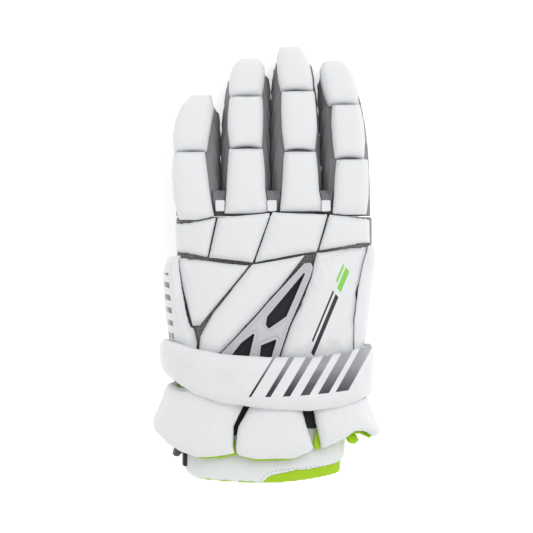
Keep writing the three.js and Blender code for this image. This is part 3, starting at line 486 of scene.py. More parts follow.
def plastic_finish(name, colours):
    """Moulded silver plastic, darker at its edge and in its groove as painted shade."""
    f = Finish(name, IOR=1.5, Coat_Weight=0.15, Coat_Roughness=0.25)
    cloud = f.noise(0.15, 3.0, 0.5)
    speck = f.noise(3.0, 2.0, 0.6)
    groove_shade = f.ease(f.marked("groove_shade"), 0.05, 0.75)
    tone = f.mix(f.ease(cloud, 0.3, 0.7), shade(colours.plastic, 0.93), shade(colours.plastic, 1.08))
    # Painted shade along the frame's lowered edge and in its groove
    tone = f.mix(groove_shade * 0.75, tone, shade(colours.plastic, 0.3))
    f.feed("Base Color", tone)
    f.feed("Metallic", 0.22 - groove_shade * 0.1)
    f.feed("Roughness", 0.34 + (cloud - 0.5) * 0.2)
    f.feed("Normal", f.bump(speck, 0.03, 0.5))
    return f.material


def webbing_finish(name, tone):
    """Woven strap: ribs of thread across its length."""
    f = Finish(name, IOR=1.45, Sheen_Weight=0.15)
    rib = ((f.x + f.z) * 4.2).wave()
    pick = (f.y * 5.2).wave()
    weave = rib * pick
    worn = f.noise(0.7, 4.0, 0.6)
    colour = f.mix(f.ease(weave, -0.8, 0.8), shade(tone, 0.6), shade(tone, 1.5))
    colour = f.mix(f.ease(worn, 0.55, 0.8) * 0.4, colour, shade(tone, 2.4))
    f.feed("Base Color", colour)
    f.feed("Roughness", 0.72 + weave * 0.08)
    f.feed("Normal", f.bump(weave, 0.18, 0.8))
    return f.material


def thread_finish(name, tone):
    """Waxed thread, its strands twisted."""
    f = Finish(name, IOR=1.45)
    twist = ((f.x + f.y) * 9.0).wave()
    f.feed("Base Color", f.mix(f.ease(twist, -0.6, 0.8), shade(tone, 0.8), tone))
    f.feed("Roughness", 0.6 + twist * 0.06)
    f.feed("Normal", f.bump(twist, 0.05, 0.5))
    return f.material


def floor_finish(name, colour, glow):
    """Plain pale studio floor, with a little light of its own."""
    f = Finish(name, Roughness=0.9)
    cloud = f.noise(0.004, 2.0)
    f.feed("Base Color", f.mix(f.ease(cloud, 0.3, 0.7), shade(colour, 0.995), colour))
    f.surface.inputs["Emission Color"].default_value = (1.0, 1.0, 1.0, 1.0)
    f.surface.inputs["Emission Strength"].default_value = glow
    return f.material


FINISH_MAKERS = {
    "white_leather": lambda colours: leather_finish("white_leather", colours),
    "band_leather": lambda colours: leather_finish("band_leather", colours, band_print),
    "panel_leather": lambda colours: leather_finish("panel_leather", colours, panel_print),
    "side_leather": lambda colours: leather_finish("side_leather", colours, side_print),
    "grey_suede": lambda colours: suede_finish("grey_suede", colours),
    # The palm's suede is the fingers' suede darkened as painted shade, for the shell that lies low under and
    # between the pads
    "palm_suede_shaded": lambda colours: suede_finish("palm_suede_shaded", colours, 0.7, 0.42),
    "lime_lining": lambda colours: lining_finish("lime_lining", colours),
    "black_mesh": lambda colours: mesh_finish("black_mesh", colours),
    "silver_plastic": lambda colours: plastic_finish("silver_plastic", colours),
    "black_webbing": lambda colours: webbing_finish("black_webbing", colours.webbing),
    "grey_elastic": lambda colours: webbing_finish("grey_elastic", colours.elastic),
    "pale_thread": lambda colours: thread_finish("pale_thread", colours.thread),
}


def finish(name):
    """The material of that name, made the first time that a piece asks for it."""
    made = bpy.data.materials.get(name)
    if made is None:
        made = FINISH_MAKERS[name](bpy.context.scene.glove_colours)
    return made


# Making skins


def plan(column, row):
    """The place on the glove's plan, in metres, that shows at a point of the photograph."""
    return (column - ORIGIN_COLUMN) * PIXEL, (ORIGIN_ROW - row) * PIXEL


def points_of(mesh):
    places = np.empty(len(mesh.vertices) * 3)
    mesh.vertices.foreach_get("co", places)
    return places.reshape(-1, 3)


def normals_of(mesh):
    facing = np.empty(len(mesh.vertices) * 3)
    mesh.vertex_normals.foreach_get("vector", facing)
    return facing.reshape(-1, 3)


def place_points(mesh, places):
    mesh.vertices.foreach_set("co", places.ravel())
    mesh.update()


def mark(mesh, name, values):
    """Writes a number for each point, which the finishes read by name."""
    layer = mesh.attributes.get(name) or mesh.attributes.new(name, "FLOAT", "POINT")
    layer.data.foreach_set("value", values)


def settle(piece):
    """Makes what a piece's modifiers give its own mesh."""
    bpy.context.view_layer.update()
    graph = bpy.context.evaluated_depsgraph_get()
    shaped = bpy.data.meshes.new_from_object(piece.evaluated_get(graph))
    spent = piece.data
    piece.modifiers.clear()
    piece.data = shaped
    bpy.data.meshes.remove(spent)


def copy_of(node, name):
    """A new piece with the form of a CAD node, its split points joined."""
    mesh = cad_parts[node].data.copy()
    mesh.materials.clear()
    work = bmesh.new()
    work.from_mesh(mesh)
    bmesh.ops.remove_doubles(work, verts=work.verts, dist=1e-6)
    bmesh.ops.recalc_face_normals(work, faces=work.faces)
    work.to_mesh(mesh)
    work.free()
    piece = bpy.data.objects.new(name, mesh)
    bpy.context.scene.collection.objects.link(piece)
    return piece


def regrid(piece, size):
    """Gives a piece an even grid of faces."""
    grid = piece.modifiers.new("Grid", "REMESH")
    grid.mode = "VOXEL"
    grid.voxel_size = size
    settle(piece)


def soften(mesh, rounds, spring=0.0):
    """Moves every point towards its neighbours' middle, and by spring part of the way back out."""
    places = points_of(mesh)
    count = len(places)
    ends = np.empty(len(mesh.edges) * 2, int)
    mesh.edges.foreach_get("vertices", ends)
    ends = ends.reshape(-1, 2)
    near = np.concatenate([ends[:, 0], ends[:, 1]])
    far = np.concatenate([ends[:, 1], ends[:, 0]])
    links = np.maximum(np.bincount(near, minlength=count), 1)
    for _ in range(rounds):
        for share in (0.5, -spring) if spring else (0.5,):
            middle = np.stack([
                np.bincount(near, weights=places[far, axis], minlength=count) / links
                for axis in range(3)], axis=1)
            places += share * (middle - places)
    place_points(mesh, places)


def outwards(places, wrapped):
    """The direction away from the hand at each point: up for the back, and all round for the cuff."""
    away = np.zeros_like(places)
    away[:, 2] = 1.0
    if wrapped:
        away[:, 0] = places[:, 0]
        away[:, 2] = places[:, 2] - HAND_HEIGHT
        away /= np.maximum(np.linalg.norm(away, axis=1), 1e-6)[:, None]
    return away


def keep_corners(mesh, starts, wrapped):
    """Lets softening draw a skin's outline in by the edge ease only, and its top by the round over."""
    sizes = bpy.context.scene.glove_padding
    away = outwards(starts, wrapped)
    moved = points_of(mesh) - starts
    height = (moved * away).sum(axis=1)[:, None]
    flat = moved - away * height
    length = np.maximum(np.linalg.norm(flat, axis=1), 1e-9)[:, None]
    flat *= np.minimum(1.0, sizes.edge_ease / length)
    place_points(mesh, starts + flat + away * np.clip(height, -sizes.round_over, sizes.round_over))


def hold_inside(mesh, solid, wrapped, swell=0.0):
    """Keeps a skin a seam's ease inside its solid's sides, and lets it swell only outwards."""
    sizes = bpy.context.scene.glove_padding
    places = points_of(mesh)
    away = outwards(places, wrapped)
    for number, place in enumerate(places):
        foot, facing, _, _ = solid.find_nearest(Vector(place))
        out = max(0.0, min(1.0, facing.dot(Vector(away[number]))))
        limit = out * out * (swell + sizes.seam_ease) - sizes.seam_ease
        over = (Vector(place) - foot).dot(facing) - limit
        if over > 0.0:
            places[number] -= np.array(facing) * over
    place_points(mesh, places)


# The leather as the cloth solver takes it
LEATHER_CLOTH = {
    "quality": 4,
    "mass": 0.25,
    "tension_stiffness": 12.0,
    "compression_stiffness": 12.0,
    "bending_stiffness": 0.6,
    "shrink_min": -0.015,
    "use_pressure": True,
}

# The share of each softening step that is taken back, so that a skin keeps its size
SPRING = 0.52


def fill(pieces, solids, wrapped=False):
    """Presses foam against the leather of some pads, and holds every point near its place."""
    sizes = bpy.context.scene.glove_padding
    scene = bpy.context.scene
    starts = [points_of(piece.data) for piece in pieces]
    for piece in pieces:
        cloth = piece.modifiers.new("Filling", "CLOTH")
        for key, value in LEATHER_CLOTH.items():
            setattr(cloth.settings, key, value)
        cloth.settings.uniform_pressure_force = sizes.pressure
        cloth.settings.effector_weights.gravity = 0.0
    for step in range(1, sizes.steps + 1):
        scene.frame_set(step)
    for piece, places, solid in zip(pieces, starts, solids):
        settle(piece)
        moved = points_of(piece.data) - places
        length = np.maximum(np.linalg.norm(moved, axis=1), 1e-9)
        moved *= np.minimum(1.0, 2.0 * sizes.swell / length)[:, None]
        place_points(piece.data, places + moved)
        hold_inside(piece.data, solid, wrapped, sizes.swell)
    scene.frame_set(1)


def ripple(mesh, height, size, stretch=(1.0, 1.0, 1.0), seed=0.0):
    """Slow unevenness of a hand-made skin."""
    places = points_of(mesh)
    facing = normals_of(mesh)
    scaled = places * np.array(stretch) / size + seed
    rise = np.array([noise.noise(Vector(p)) for p in scaled])
    place_points(mesh, places + facing * (rise * height)[:, None])


def near_line(places, start, end):
    """Each point's distance from a line on the plan, and its share of the way along it."""
    a = np.array(start)
    run = np.array(end) - a
    share = ((places[:, :2] - a) @ run) / (run @ run)
    held = np.clip(share, 0.0, 1.0)
    foot = a + held[:, None] * run
    return np.linalg.norm(places[:, :2] - foot, axis=1), share


def press_folds(mesh, folds):
    """Folds pressed into a skin's upper side, marked with painted shade: each row gives the line's two
    ends in the photograph, its depth and width in millimetres, and how dark that painted shade lies."""
    places = points_of(mesh)
    facing = normals_of(mesh)
    fold_shade = np.zeros(len(places))
    for row in folds:
        away, share = near_line(places, plan(*row["start"]), plan(*row["end"]))
        depth = np.exp(-((away / (row["width"] * MM)) ** 2))
        depth *= np.clip(4.0 * share * (1.0 - share) + 0.25, 0.0, 1.0)
        depth *= np.clip(facing[:, 2] * 1.5, 0.0, 1.0)
        places -= facing * (depth * row["depth"] * MM)[:, None]
        # How much painted shade the finish lays in each fold
        fold_shade = np.maximum(fold_shade, depth * row.get("dark", 0.6))
    place_points(mesh, places)
    mark(mesh, "fold_shade", fold_shade)


def wave_walls(mesh):
    """Bends upright walls sideways in one shared wave of the height, so that two walls that face
    each other stay as far apart but leave no straight line of sight between them."""
    sizes = bpy.context.scene.glove_padding
    places = points_of(mesh)
    upright = 1.0 - np.abs(normals_of(mesh)[:, 2])
    turn = 2.0 * np.pi * places[:, 2] / sizes.wall_wave
    places[:, 0] += upright ** 2 * np.sin(turn) * sizes.wall_bend
    place_points(mesh, places)


def thin_out(piece, share):
    """Fewer faces, where a plain skin needs no more."""
    fewer = piece.modifiers.new("Fewer", "DECIMATE")
    fewer.ratio = share
    settle(piece)


def set_down(mesh):
    """Keeps a skin above the surface that the glove lies on."""
    places = points_of(mesh)
    places[:, 2] = np.maximum(places[:, 2], 0.0)
    place_points(mesh, places)


def hand_over(piece, node, finish_name):
    """Gives a finished piece its material and its body, and hides the CAD node that it stands for."""
    set_down(piece.data)
    piece.data.materials.clear()
    piece.data.materials.append(finish(finish_name))
    for face in piece.data.polygons:
        face.use_smooth = True
    # A piece without folds gets no painted shade
    if not piece.data.attributes.get("fold_shade"):
        mark(piece.data, "fold_shade", np.zeros(len(piece.data.vertices)))
    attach(piece, "root")
    if node:
        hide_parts(node)
    return piece


def leather_skin(node, rounds, wrapped):
    """A pad's skin, even and soft-edged, just inside its CAD solid, and that solid."""
    piece = copy_of(node, f"{node}_leather")
    solid = BVHTree.FromObject(piece, bpy.context.evaluated_depsgraph_get())
    regrid(piece, bpy.context.scene.glove_padding.pad_grid)
    starts = points_of(piece.data)
    soften(piece.data, PAD_ROUNDS["first"] * rounds)
    keep_corners(piece.data, starts, wrapped)
    soften(piece.data, PAD_ROUNDS["last"], SPRING)
    hold_inside(piece.data, solid, wrapped, bpy.context.scene.glove_padding.swell)
    return piece, solid


def plain_skin(node, name, kind):
    """A piece's copy on an even grid, softened as its row of SKINS says."""
    row = SKINS[kind]
    piece = copy_of(node, name)
    regrid(piece, row["grid"] * MM)
    soften(piece.data, row["rounds"], row["spring"])
    return piece


def close_skin(node, name, kind):
    """A plain skin with its corners kept and every point inside its CAD solid."""
    row = SKINS[kind]
    piece = copy_of(node, name)
    solid = BVHTree.FromObject(piece, bpy.context.evaluated_depsgraph_get())
    regrid(piece, row["grid"] * MM)
    starts = points_of(piece.data)
    soften(piece.data, row["rounds"])
    keep_corners(piece.data, starts, False)
    soften(piece.data, PAD_ROUNDS["last"], SPRING)
    hold_inside(piece.data, solid, False)
    return piece


def pads(nodes, finishes=None, folds=None, wrapped=False, shaped=None, rounds=3):
    """Pads made together: skins, filling, unevenness, folds and finish."""
    sizes = bpy.context.scene.glove_padding
    made = [leather_skin(node, rounds, wrapped) for node in nodes]
    skins = [skin for skin, _ in made]
    for node, skin in zip(nodes, skins):
        if shaped:
            shaped(node, skin.data)
    fill(skins, [solid for _, solid in made], wrapped)
    for number, (node, skin) in enumerate(zip(nodes, skins)):
        ripple(skin.data, sizes.ripple, PAD_RIPPLE["size"] * MM, PAD_RIPPLE["stretch"],
               PAD_RIPPLE["seed_step"] * number)
        press_folds(skin.data, (folds or {}).get(node, []))
        hand_over(skin, node, (finishes or {}).get(node, "white_leather"))
    return skins


# The glove's own tables

FINGERS = ("pinky", "ring", "middle", "index")

# Softening steps of a pad: for each of its rounds, and once its corners are set
PAD_ROUNDS = {"first": 12, "last": 3}

# The pads' slow unevenness: its size in millimetres, its stretch along each axis, and the step in
# its pattern from one pad to the next
PAD_RIPPLE = {"size": 11, "stretch": (1.0, 0.6, 1.0), "seed_step": 3.7}

# Skins that get no filling: face size in millimetres, softening steps, the share of each step that
# is taken back, and the share of the faces that stays
SKINS = {
    "stall": {"grid": 1.1, "rounds": 5, "keep": 0.6},
    "shell": {"grid": 1.3, "rounds": 10, "spring": SPRING, "keep": 0.45},
    "web": {"grid": 0.6, "rounds": 6, "spring": 0.0},
    "tab": {"grid": 0.5, "rounds": 5, "spring": 0.0},
    "vent_mesh": {"grid": 0.6, "rounds": 2, "spring": 0.0},
    "wristband": {"grid": 1.1, "rounds": 14, "spring": SPRING, "keep": 0.35},
    "wristband_lining": {"grid": 0.9, "rounds": 14, "spring": SPRING, "keep": 0.25},
    "cuff_cloth": {"grid": 0.8, "rounds": 8, "spring": SPRING, "keep": 0.3},
    "fitting": {"grid": 0.7, "rounds": 6, "spring": 0.45, "keep": 0.5},
}

# Unevenness of the suede and of the tabs: height, size, both in millimetres, and stretch
RIPPLES = {
    "stall": {"height": 0.12, "size": 14, "stretch": (1.0, 1.0, 1.0), "seed_step": 5.1},
    "shell": {"height": 0.4, "size": 22},
    "tab": {"height": 0.5, "size": 3, "stretch": (1.6, 0.5, 1.0)},
}

# How far a web sags between its two fingers, in millimetres
WEB_SAG = 5.0

# The crescent gap at each finger joint: where it lies in the photograph, and how far the pad
# above it arches away, in millimetres
JOINT_ARCHES = {
    "pinky_pad_tip": {"left": 178, "right": 206, "row": 149.5, "rise": 0.4},
    "ring_pad_middle": {"left": 233, "right": 262, "row": 145.5, "rise": 1.0},
    "ring_pad_tip": {"left": 231, "right": 263, "row": 93.5, "rise": 0.4},
    "middle_pad_middle": {"left": 285, "right": 312, "row": 149.5, "rise": 1.2},
    "middle_pad_tip": {"left": 281, "right": 311, "row": 88.5, "rise": 1.0},
    "index_pad_middle": {"left": 337, "right": 364, "row": 156.5, "rise": 0.9},
    "index_pad_tip": {"left": 330, "right": 358, "row": 102.4, "rise": 0.9},
}

# Folds pressed into single pads, as ends in the photograph, depth and width in millimetres, and how dark the
# painted shade in them lies
FINGER_FOLDS = {
    "pinky_pad_tip": [
        {"start": (202, 137), "end": (207, 147), "depth": 0.7, "width": 1.0},
        {"start": (196, 146), "end": (206, 141), "depth": 0.5, "width": 0.9, "dark": 0.3},
        {"start": (176, 141), "end": (184, 149), "depth": 0.4, "width": 1.0, "dark": 0.3},
    ],
    "pinky_pad_base": [
        {"start": (203, 205), "end": (214, 214), "depth": 0.6, "width": 1.2, "dark": 0.4},
        {"start": (180, 160), "end": (182, 198), "depth": 0.2, "width": 1.0, "dark": 0.25},
    ],
    "ring_pad_tip": [
        {"start": (248, 85), "end": (250, 93), "depth": 0.35, "width": 0.8, "dark": 0.4},
        {"start": (244, 66), "end": (260, 61), "depth": 0.4, "width": 1.0, "dark": 0.45},
    ],
    "ring_pad_middle": [
        {"start": (241, 108), "end": (243, 143), "depth": 0.25, "width": 0.7, "dark": 0.4},
        {"start": (243, 109), "end": (252, 114), "depth": 0.3, "width": 0.7, "dark": 0.4},
    ],
    "ring_pad_base": [
        {"start": (244, 152), "end": (248, 208), "depth": 0.22, "width": 0.7, "dark": 0.4},
    ],
    "index_pad_base": [
        {"start": (339, 206), "end": (347, 212), "depth": 0.5, "width": 1.0, "dark": 0.3},
    ],
}

# Folds pressed into the back panels, in the same way, with faint painted shade
PANEL_FOLDS = {
    "back_pad_radial": [
        {"start": (318, 261), "end": (352, 247), "depth": 0.6, "width": 1.8, "dark": 0.15},
        {"start": (331, 352), "end": (354, 322), "depth": 0.35, "width": 1.6, "dark": 0.12},
    ],
    "back_pad_ulnar": [
        {"start": (184, 262), "end": (200, 272), "depth": 0.4, "width": 1.6, "dark": 0.12},
    ],
}

# The folds of the suede where two fingers part, in the same way, with deep painted shade
WEB_FOLDS = {
    "pinky": [
        {"start": (221.8, 186.5), "end": (216.5, 189.5), "depth": 1.6, "width": 0.8, "dark": 1.0},
        {"start": (217, 189.2), "end": (212.5, 194), "depth": 1.2, "width": 0.8, "dark": 0.9},
        {"start": (220.8, 188.5), "end": (218.5, 196.5), "depth": 1.0, "width": 0.7, "dark": 0.8},
    ],
    "ring": [
        {"start": (271.6, 184), "end": (273, 188), "depth": 1.6, "width": 0.8, "dark": 1.0},
        {"start": (272.6, 187), "end": (276.4, 194.5), "depth": 1.2, "width": 0.8, "dark": 0.9},
        {"start": (271, 190), "end": (268, 198), "depth": 0.8, "width": 0.7, "dark": 0.6},
    ],
    "middle": [
        {"start": (322.8, 185), "end": (324.5, 189), "depth": 1.6, "width": 0.8, "dark": 1.0},
        {"start": (324, 188.5), "end": (330, 195.5), "depth": 1.2, "width": 0.8, "dark": 0.9},
        {"start": (322.5, 190.5), "end": (319.5, 198), "depth": 0.8, "width": 0.7, "dark": 0.6},
    ],
}

# The vent frame's moulded edge, in millimetres: distances from the edge, with the height and the
# painted shade there, how far below the highest point the top and the walls are looked for and how level
# a wall's facing may be, then the skin's face size, softening steps and share of faces kept
VENT_RIDGE = {
    "away": (0.0, 0.5, 1.1, 1.6, 2.1, 2.8, 9.0),
    "height": (-0.9, -0.1, 0.0, -0.9, -0.9, 0.1, 0.5),
    "dark": (0.5, 0.0, 0.0, 0.75, 0.75, 0.1, 0.0),
    "top": 0.2, "wall": 0.8, "steep": 0.3,
    "grid": 0.5, "rounds": 4, "keep": 0.7,
}

# How far the wristband's leather is drawn down over its lining: photograph columns, millimetres at
# each, the length of leather that follows the rim, and the columns to each side that show the rim
RIM_DROP = {
    "column": (237, 251, 258.6, 262.5, 266.3, 271),
    "drop": (0.0, 1.7, 3.3, 3.7, 1.7, 0.0),
    "reach": 12.0,
    "beside": 1.5,
}

# The dotted seam beside the wristband's lime edge, as points of the photograph
RIM_SEAM = [(261.5, 480), (264, 476.5), (269, 473), (277, 471), (290, 469.5), (310, 467.5), (334, 465)]

# The wristband's stitches, in millimetres, and the points looked for on each stretch of their seam
STITCH = {"length": 2.0, "gap": 1.3, "thick": 0.28}
SEAM_PARTS = 8


def arch_joint(node, mesh):
    """Arches a finger pad's knuckle end away from the pad below it."""
    arch = JOINT_ARCHES.get(node)
    if not arch:
        return
    left, low = plan(arch["left"], arch["row"])
    right, _ = plan(arch["right"], arch["row"])
    places = points_of(mesh)
    share = (places[:, 0] - left) / (right - left)
    bow = np.clip(4.0 * share * (1.0 - share), 0.0, 1.0)
    near = np.clip(1.0 - (places[:, 1] - low) / (6 * MM), 0.0, 1.0) ** 2
    places[:, 1] += bow * near * arch["rise"] * MM
    place_points(mesh, places)


# Operators


class GLOVE_OT_finger_pads(Operator):
    """Make the eleven leather pads on the backs of the fingers"""

    bl_idname = "glove.finger_pads"
    bl_label = "Finger Pads"

    def execute(self, context):
        nodes = [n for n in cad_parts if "_pad_" in n and n.split("_")[0] in FINGERS]
        pads(sorted(nodes), folds=FINGER_FOLDS, shaped=arch_joint, rounds=2)
        return {"FINISHED"}


class GLOVE_OT_thumb_pads(Operator):
    """Make the two leather pads on the thumb"""

    bl_idname = "glove.thumb_pads"
    bl_label = "Thumb Pads"

    def execute(self, context):
        pads(["thumb_pad_base", "thumb_pad_tip"], wrapped=True, rounds=2)
        return {"FINISHED"}


class GLOVE_OT_knuckle_pads(Operator):
    """Make the four leather pads over the knuckles"""

    bl_idname = "glove.knuckle_pads"
    bl_label = "Knuckle Pads"

    def execute(self, context):
        pads([f"knuckle_pad_{finger}" for finger in FINGERS], rounds=2)
        return {"FINISHED"}


class GLOVE_OT_back_panels(Operator):
    """Make the three long leather panels on the back of the hand"""

    bl_idname = "glove.back_panels"
    bl_label = "Back Panels"

    def execute(self, context):
        pads(["back_pad_ulnar", "back_pad_centre", "back_pad_radial"],
             {"back_pad_radial": "panel_leather"}, PANEL_FOLDS, rounds=2)
        return {"FINISHED"}


class GLOVE_OT_side_pads(Operator):
    """Make the leather pads down the hand's two sides"""

    bl_idname = "glove.side_pads"
    bl_label = "Side Pads"

    def execute(self, context):
        pads(["side_pad_ulnar", "side_pad_radial"], {"side_pad_ulnar": "side_leather"}, wrapped=True)
        return {"FINISHED"}


class GLOVE_OT_finger_stalls(Operator):
    """Make the suede stalls of the four fingers and the thumb"""

    bl_idname = "glove.finger_stalls"
    bl_label = "Finger Stalls"

    def execute(self, context):
        stalls = [f"finger_stall_{finger}" for finger in FINGERS]
        for number, node in enumerate([*stalls, "thumb_stall"]):
            piece = close_skin(node, f"{node}_suede", "stall")
            wave_walls(piece.data)
            row = RIPPLES["stall"]
            ripple(piece.data, row["height"] * MM, row["size"] * MM, row["stretch"],
                   row["seed_step"] * number)
            thin_out(piece, SKINS["stall"]["keep"])
            hand_over(piece, node, "grey_suede")
        return {"FINISHED"}


class GLOVE_OT_hand_shell(Operator):
    """Make the suede hand that carries the pads, with its palm"""

    bl_idname = "glove.hand_shell"
    bl_label = "Hand Shell"

    def execute(self, context):
        piece = plain_skin("hand_shell", "hand_shell_suede", "shell")
        ripple(piece.data, RIPPLES["shell"]["height"] * MM, RIPPLES["shell"]["size"] * MM)
        thin_out(piece, SKINS["shell"]["keep"])
        # Painted shade: the shell gets the darker copy of the suede
        hand_over(piece, "hand_shell", "palm_suede_shaded")
        return {"FINISHED"}


class GLOVE_OT_finger_webs(Operator):
    """Make the suede webs and leather tabs between the fingers"""

    bl_idname = "glove.finger_webs"
    bl_label = "Finger Webs"

    def execute(self, context):
        for finger in FINGERS[:-1]:
            web = plain_skin(f"finger_web_{finger}", f"finger_web_{finger}_suede", "web")
            places = points_of(web.data)
            front = (places[:, 1] - places[:, 1].min()) / np.ptp(places[:, 1])
            middle = 2.0 * (places[:, 0] - places[:, 0].min()) / np.ptp(places[:, 0]) - 1.0
            upper = (places[:, 2] - places[:, 2].min()) / np.ptp(places[:, 2])
            places[:, 2] -= upper * front ** 3 * (1.0 - middle ** 2) * WEB_SAG * MM
            place_points(web.data, places)
            press_folds(web.data, WEB_FOLDS[finger])
            hand_over(web, f"finger_web_{finger}", "grey_suede")
            tab = plain_skin(f"finger_tab_{finger}", f"finger_tab_{finger}_leather", "tab")
            row = RIPPLES["tab"]
            ripple(tab.data, row["height"] * MM, row["size"] * MM, row["stretch"])
            hand_over(tab, f"finger_tab_{finger}", "white_leather")
        return {"FINISHED"}


class GLOVE_OT_vent(Operator):
    """Make the vent: a bevelled plastic frame over a sheet of mesh"""

    bl_idname = "glove.vent"
    bl_label = "Vent"

    def execute(self, context):
        sheet = plain_skin("vent_mesh", "vent_mesh_sheet", "vent_mesh")
        hand_over(sheet, "vent_mesh", "black_mesh")
        plate = copy_of("vent_frame", "vent_frame_plastic")
        regrid(plate, VENT_RIDGE["grid"] * MM)
        places = points_of(plate.data)
        level = places[:, 2].max()
        top = places[:, 2] > level - VENT_RIDGE["top"] * MM
        steep = np.abs(normals_of(plate.data)[:, 2]) < VENT_RIDGE["steep"]
        walls = places[(places[:, 2] < level - VENT_RIDGE["wall"] * MM) & steep]
        rims = KDTree(len(walls))
        for number, (x, y, _) in enumerate(walls):
            rims.insert((x, y, 0.0), number)
        rims.balance()
        away = np.array([rims.find((x, y, 0.0))[2] for x, y, _ in places]) / MM
        heights = np.interp(away, VENT_RIDGE["away"], VENT_RIDGE["height"])
        places[:, 2] += np.where(top, heights * MM, 0.0)
        place_points(plate.data, places)
        soften(plate.data, VENT_RIDGE["rounds"], SPRING)
        # Painted shade for the finish, along the lowered edge and in the groove
        mark(plate.data, "groove_shade", np.interp(away, VENT_RIDGE["away"], VENT_RIDGE["dark"]))
        thin_out(plate, VENT_RIDGE["keep"])
        hand_over(plate, "vent_frame", "silver_plastic")
        return {"FINISHED"}


class GLOVE_OT_wristband(Operator):
    """Make the wristband's leather tube, its lime lining and its rim seam"""

    bl_idname = "glove.wristband"
    bl_label = "Wristband"

    def execute(self, context):
        layers = (
            ("wristband", "wristband_leather", "white_leather"),
            ("wristband_lining", "wristband_lining_cloth", "lime_lining"),
        )
        for node, name, finish_name in layers:
            piece = plain_skin(node, name, node)
            if node == "wristband":
                draw_rim(piece.data)
            thin_out(piece, SKINS[node]["keep"])
            hand_over(piece, node, finish_name)
        context.view_layer.update()
        band = bpy.data.objects["wristband_leather"]
        skin = BVHTree.FromObject(band, context.evaluated_depsgraph_get())
        hand_over(stitch_row("wristband_stitches", rim_seam_points(skin)), None, "pale_thread")
        return {"FINISHED"}


def draw_rim(mesh):
    """Draws the leather's rim down over the lining, on the back of the hand."""
    places = points_of(mesh)
    upper = places[:, 2] > HAND_HEIGHT
    columns = places[:, 0] / PIXEL + ORIGIN_COLUMN
    drop = np.interp(columns, RIM_DROP["column"], RIM_DROP["drop"]) * MM
    rim = np.zeros(len(places))
    for column in np.unique(columns.round()):
        near = upper & (np.abs(columns - column) < RIM_DROP["beside"])
        if near.any():
            rim[columns.round() == column] = places[near, 1].min()
    held = np.clip(1.0 - (places[:, 1] - rim) / (RIM_DROP["reach"] * MM), 0.0, 1.0)
    places[:, 1] -= np.where(upper, drop * held, 0.0)
    place_points(mesh, places)


def rim_seam_points(skin):
    """Points and facings along the rim seam, dropped on to the leather from above."""
    found = []
    for (c1, r1), (c2, r2) in zip(RIM_SEAM, RIM_SEAM[1:]):
        for part in range(SEAM_PARTS):
            t = part / SEAM_PARTS
            x, y = plan(c1 + (c2 - c1) * t, r1 + (r2 - r1) * t)
            place, facing, _, _ = skin.ray_cast(Vector((x, y, ABOVE)), Vector((0, 0, -1)))
            if place is not None:
                found.append((place, facing))
    if not found:
        raise RuntimeError("the rim seam lies off the wristband")
    return found


def stitch_row(name, path):
    """A row of stitches: short rounded threads laid along a path."""
    length, gap, thick = (STITCH[key] * MM for key in ("length", "gap", "thick"))
    work = bmesh.new()
    walked, next_at = 0.0, 0.0
    for (here, facing), (there, _) in zip(path, path[1:]):
        run = there - here
        step = run.length
        while step > 1e-9 and next_at <= walked + step:
            middle = here + run * ((next_at - walked) / step) + facing * thick * 0.25
            ahead = run.normalized()
            side = facing.cross(ahead).normalized()
            turn = Matrix((ahead, side, facing)).transposed().to_4x4()
            size = Matrix.Diagonal((length / 2, thick, thick, 1.0))
            bmesh.ops.create_uvsphere(
                work, u_segments=8, v_segments=6, radius=1.0,
                matrix=Matrix.Translation(middle) @ turn @ size)
            next_at += length + gap
        walked += step
    mesh = bpy.data.meshes.new(name)
    work.to_mesh(mesh)
    work.free()
    piece = bpy.data.objects.new(name, mesh)
    bpy.context.scene.collection.objects.link(piece)
    return piece


class GLOVE_OT_cuff_petals(Operator):
    """Make the cuff's three padded petals"""

    bl_idname = "glove.cuff_petals"
    bl_label = "Cuff Petals"

    def execute(self, context):
        pads([f"cuff_petal_{name}" for name in ("ulnar", "radial", "centre")], wrapped=True)
        return {"FINISHED"}


class GLOVE_OT_cuff_linings(Operator):
    """Make the lime linings under the petals and the mesh gussets between them"""

    bl_idname = "glove.cuff_linings"
    bl_label = "Cuff Linings"

    def execute(self, context):
        kinds = [(f"petal_lining_{name}", "lime_lining") for name in ("ulnar", "radial", "centre")]
        kinds += [(f"cuff_gusset_{name}", "black_mesh") for name in ("ulnar", "radial")]
        for node, kind in kinds:
            piece = plain_skin(node, f"{node}_cloth", "cuff_cloth")
            thin_out(piece, SKINS["cuff_cloth"]["keep"])
            hand_over(piece, node, kind)
        return {"FINISHED"}


class GLOVE_OT_cuff_band(Operator):
    """Make the padded band round the cuff"""

    bl_idname = "glove.cuff_band"
    bl_label = "Cuff Band"

    def execute(self, context):
        pads(["cuff_band"], {"cuff_band": "band_leather"}, wrapped=True)
        return {"FINISHED"}


class GLOVE_OT_cuff_fittings(Operator):
    """Make the closure strap, the elastic loop and the pull tab"""

    bl_idname = "glove.cuff_fittings"
    bl_label = "Cuff Fittings"

    def execute(self, context):
        fittings = (
            ("closure_strap", "black_webbing", "black_webbing"),
            ("elastic_loop", "grey_elastic", "grey_suede"),
            ("pull_tab", "lime_lining", "lime_lining"),
        )
        for node, finish_name, slot in fittings:
            piece = plain_skin(node, f"{node}_cloth", "fitting")
            thin_out(piece, SKINS["fitting"]["keep"])
            hand_over(piece, node, finish_name)
        return {"FINISHED"}


# The studio, in metres: the floor's half width and drop below the glove, each light's place, width
# and share of the soft box's power, and the glove's top, from which the camera's height is counted
FLOOR = {"half": 6.0, "drop": 0.0002}
LIGHTS = {
    "soft_box": {"place": (0.9, 0.7, 2.0), "width": 1.4, "share": 1.0},
    "fill_box": {"place": (-1.3, -0.9, 1.6), "width": 1.6, "share": 0.25},
}
CAMERA = {"sensor": 36.0, "reach": 100.0, "column": 266.5, "row": 266.5, "glove_top": 0.08}


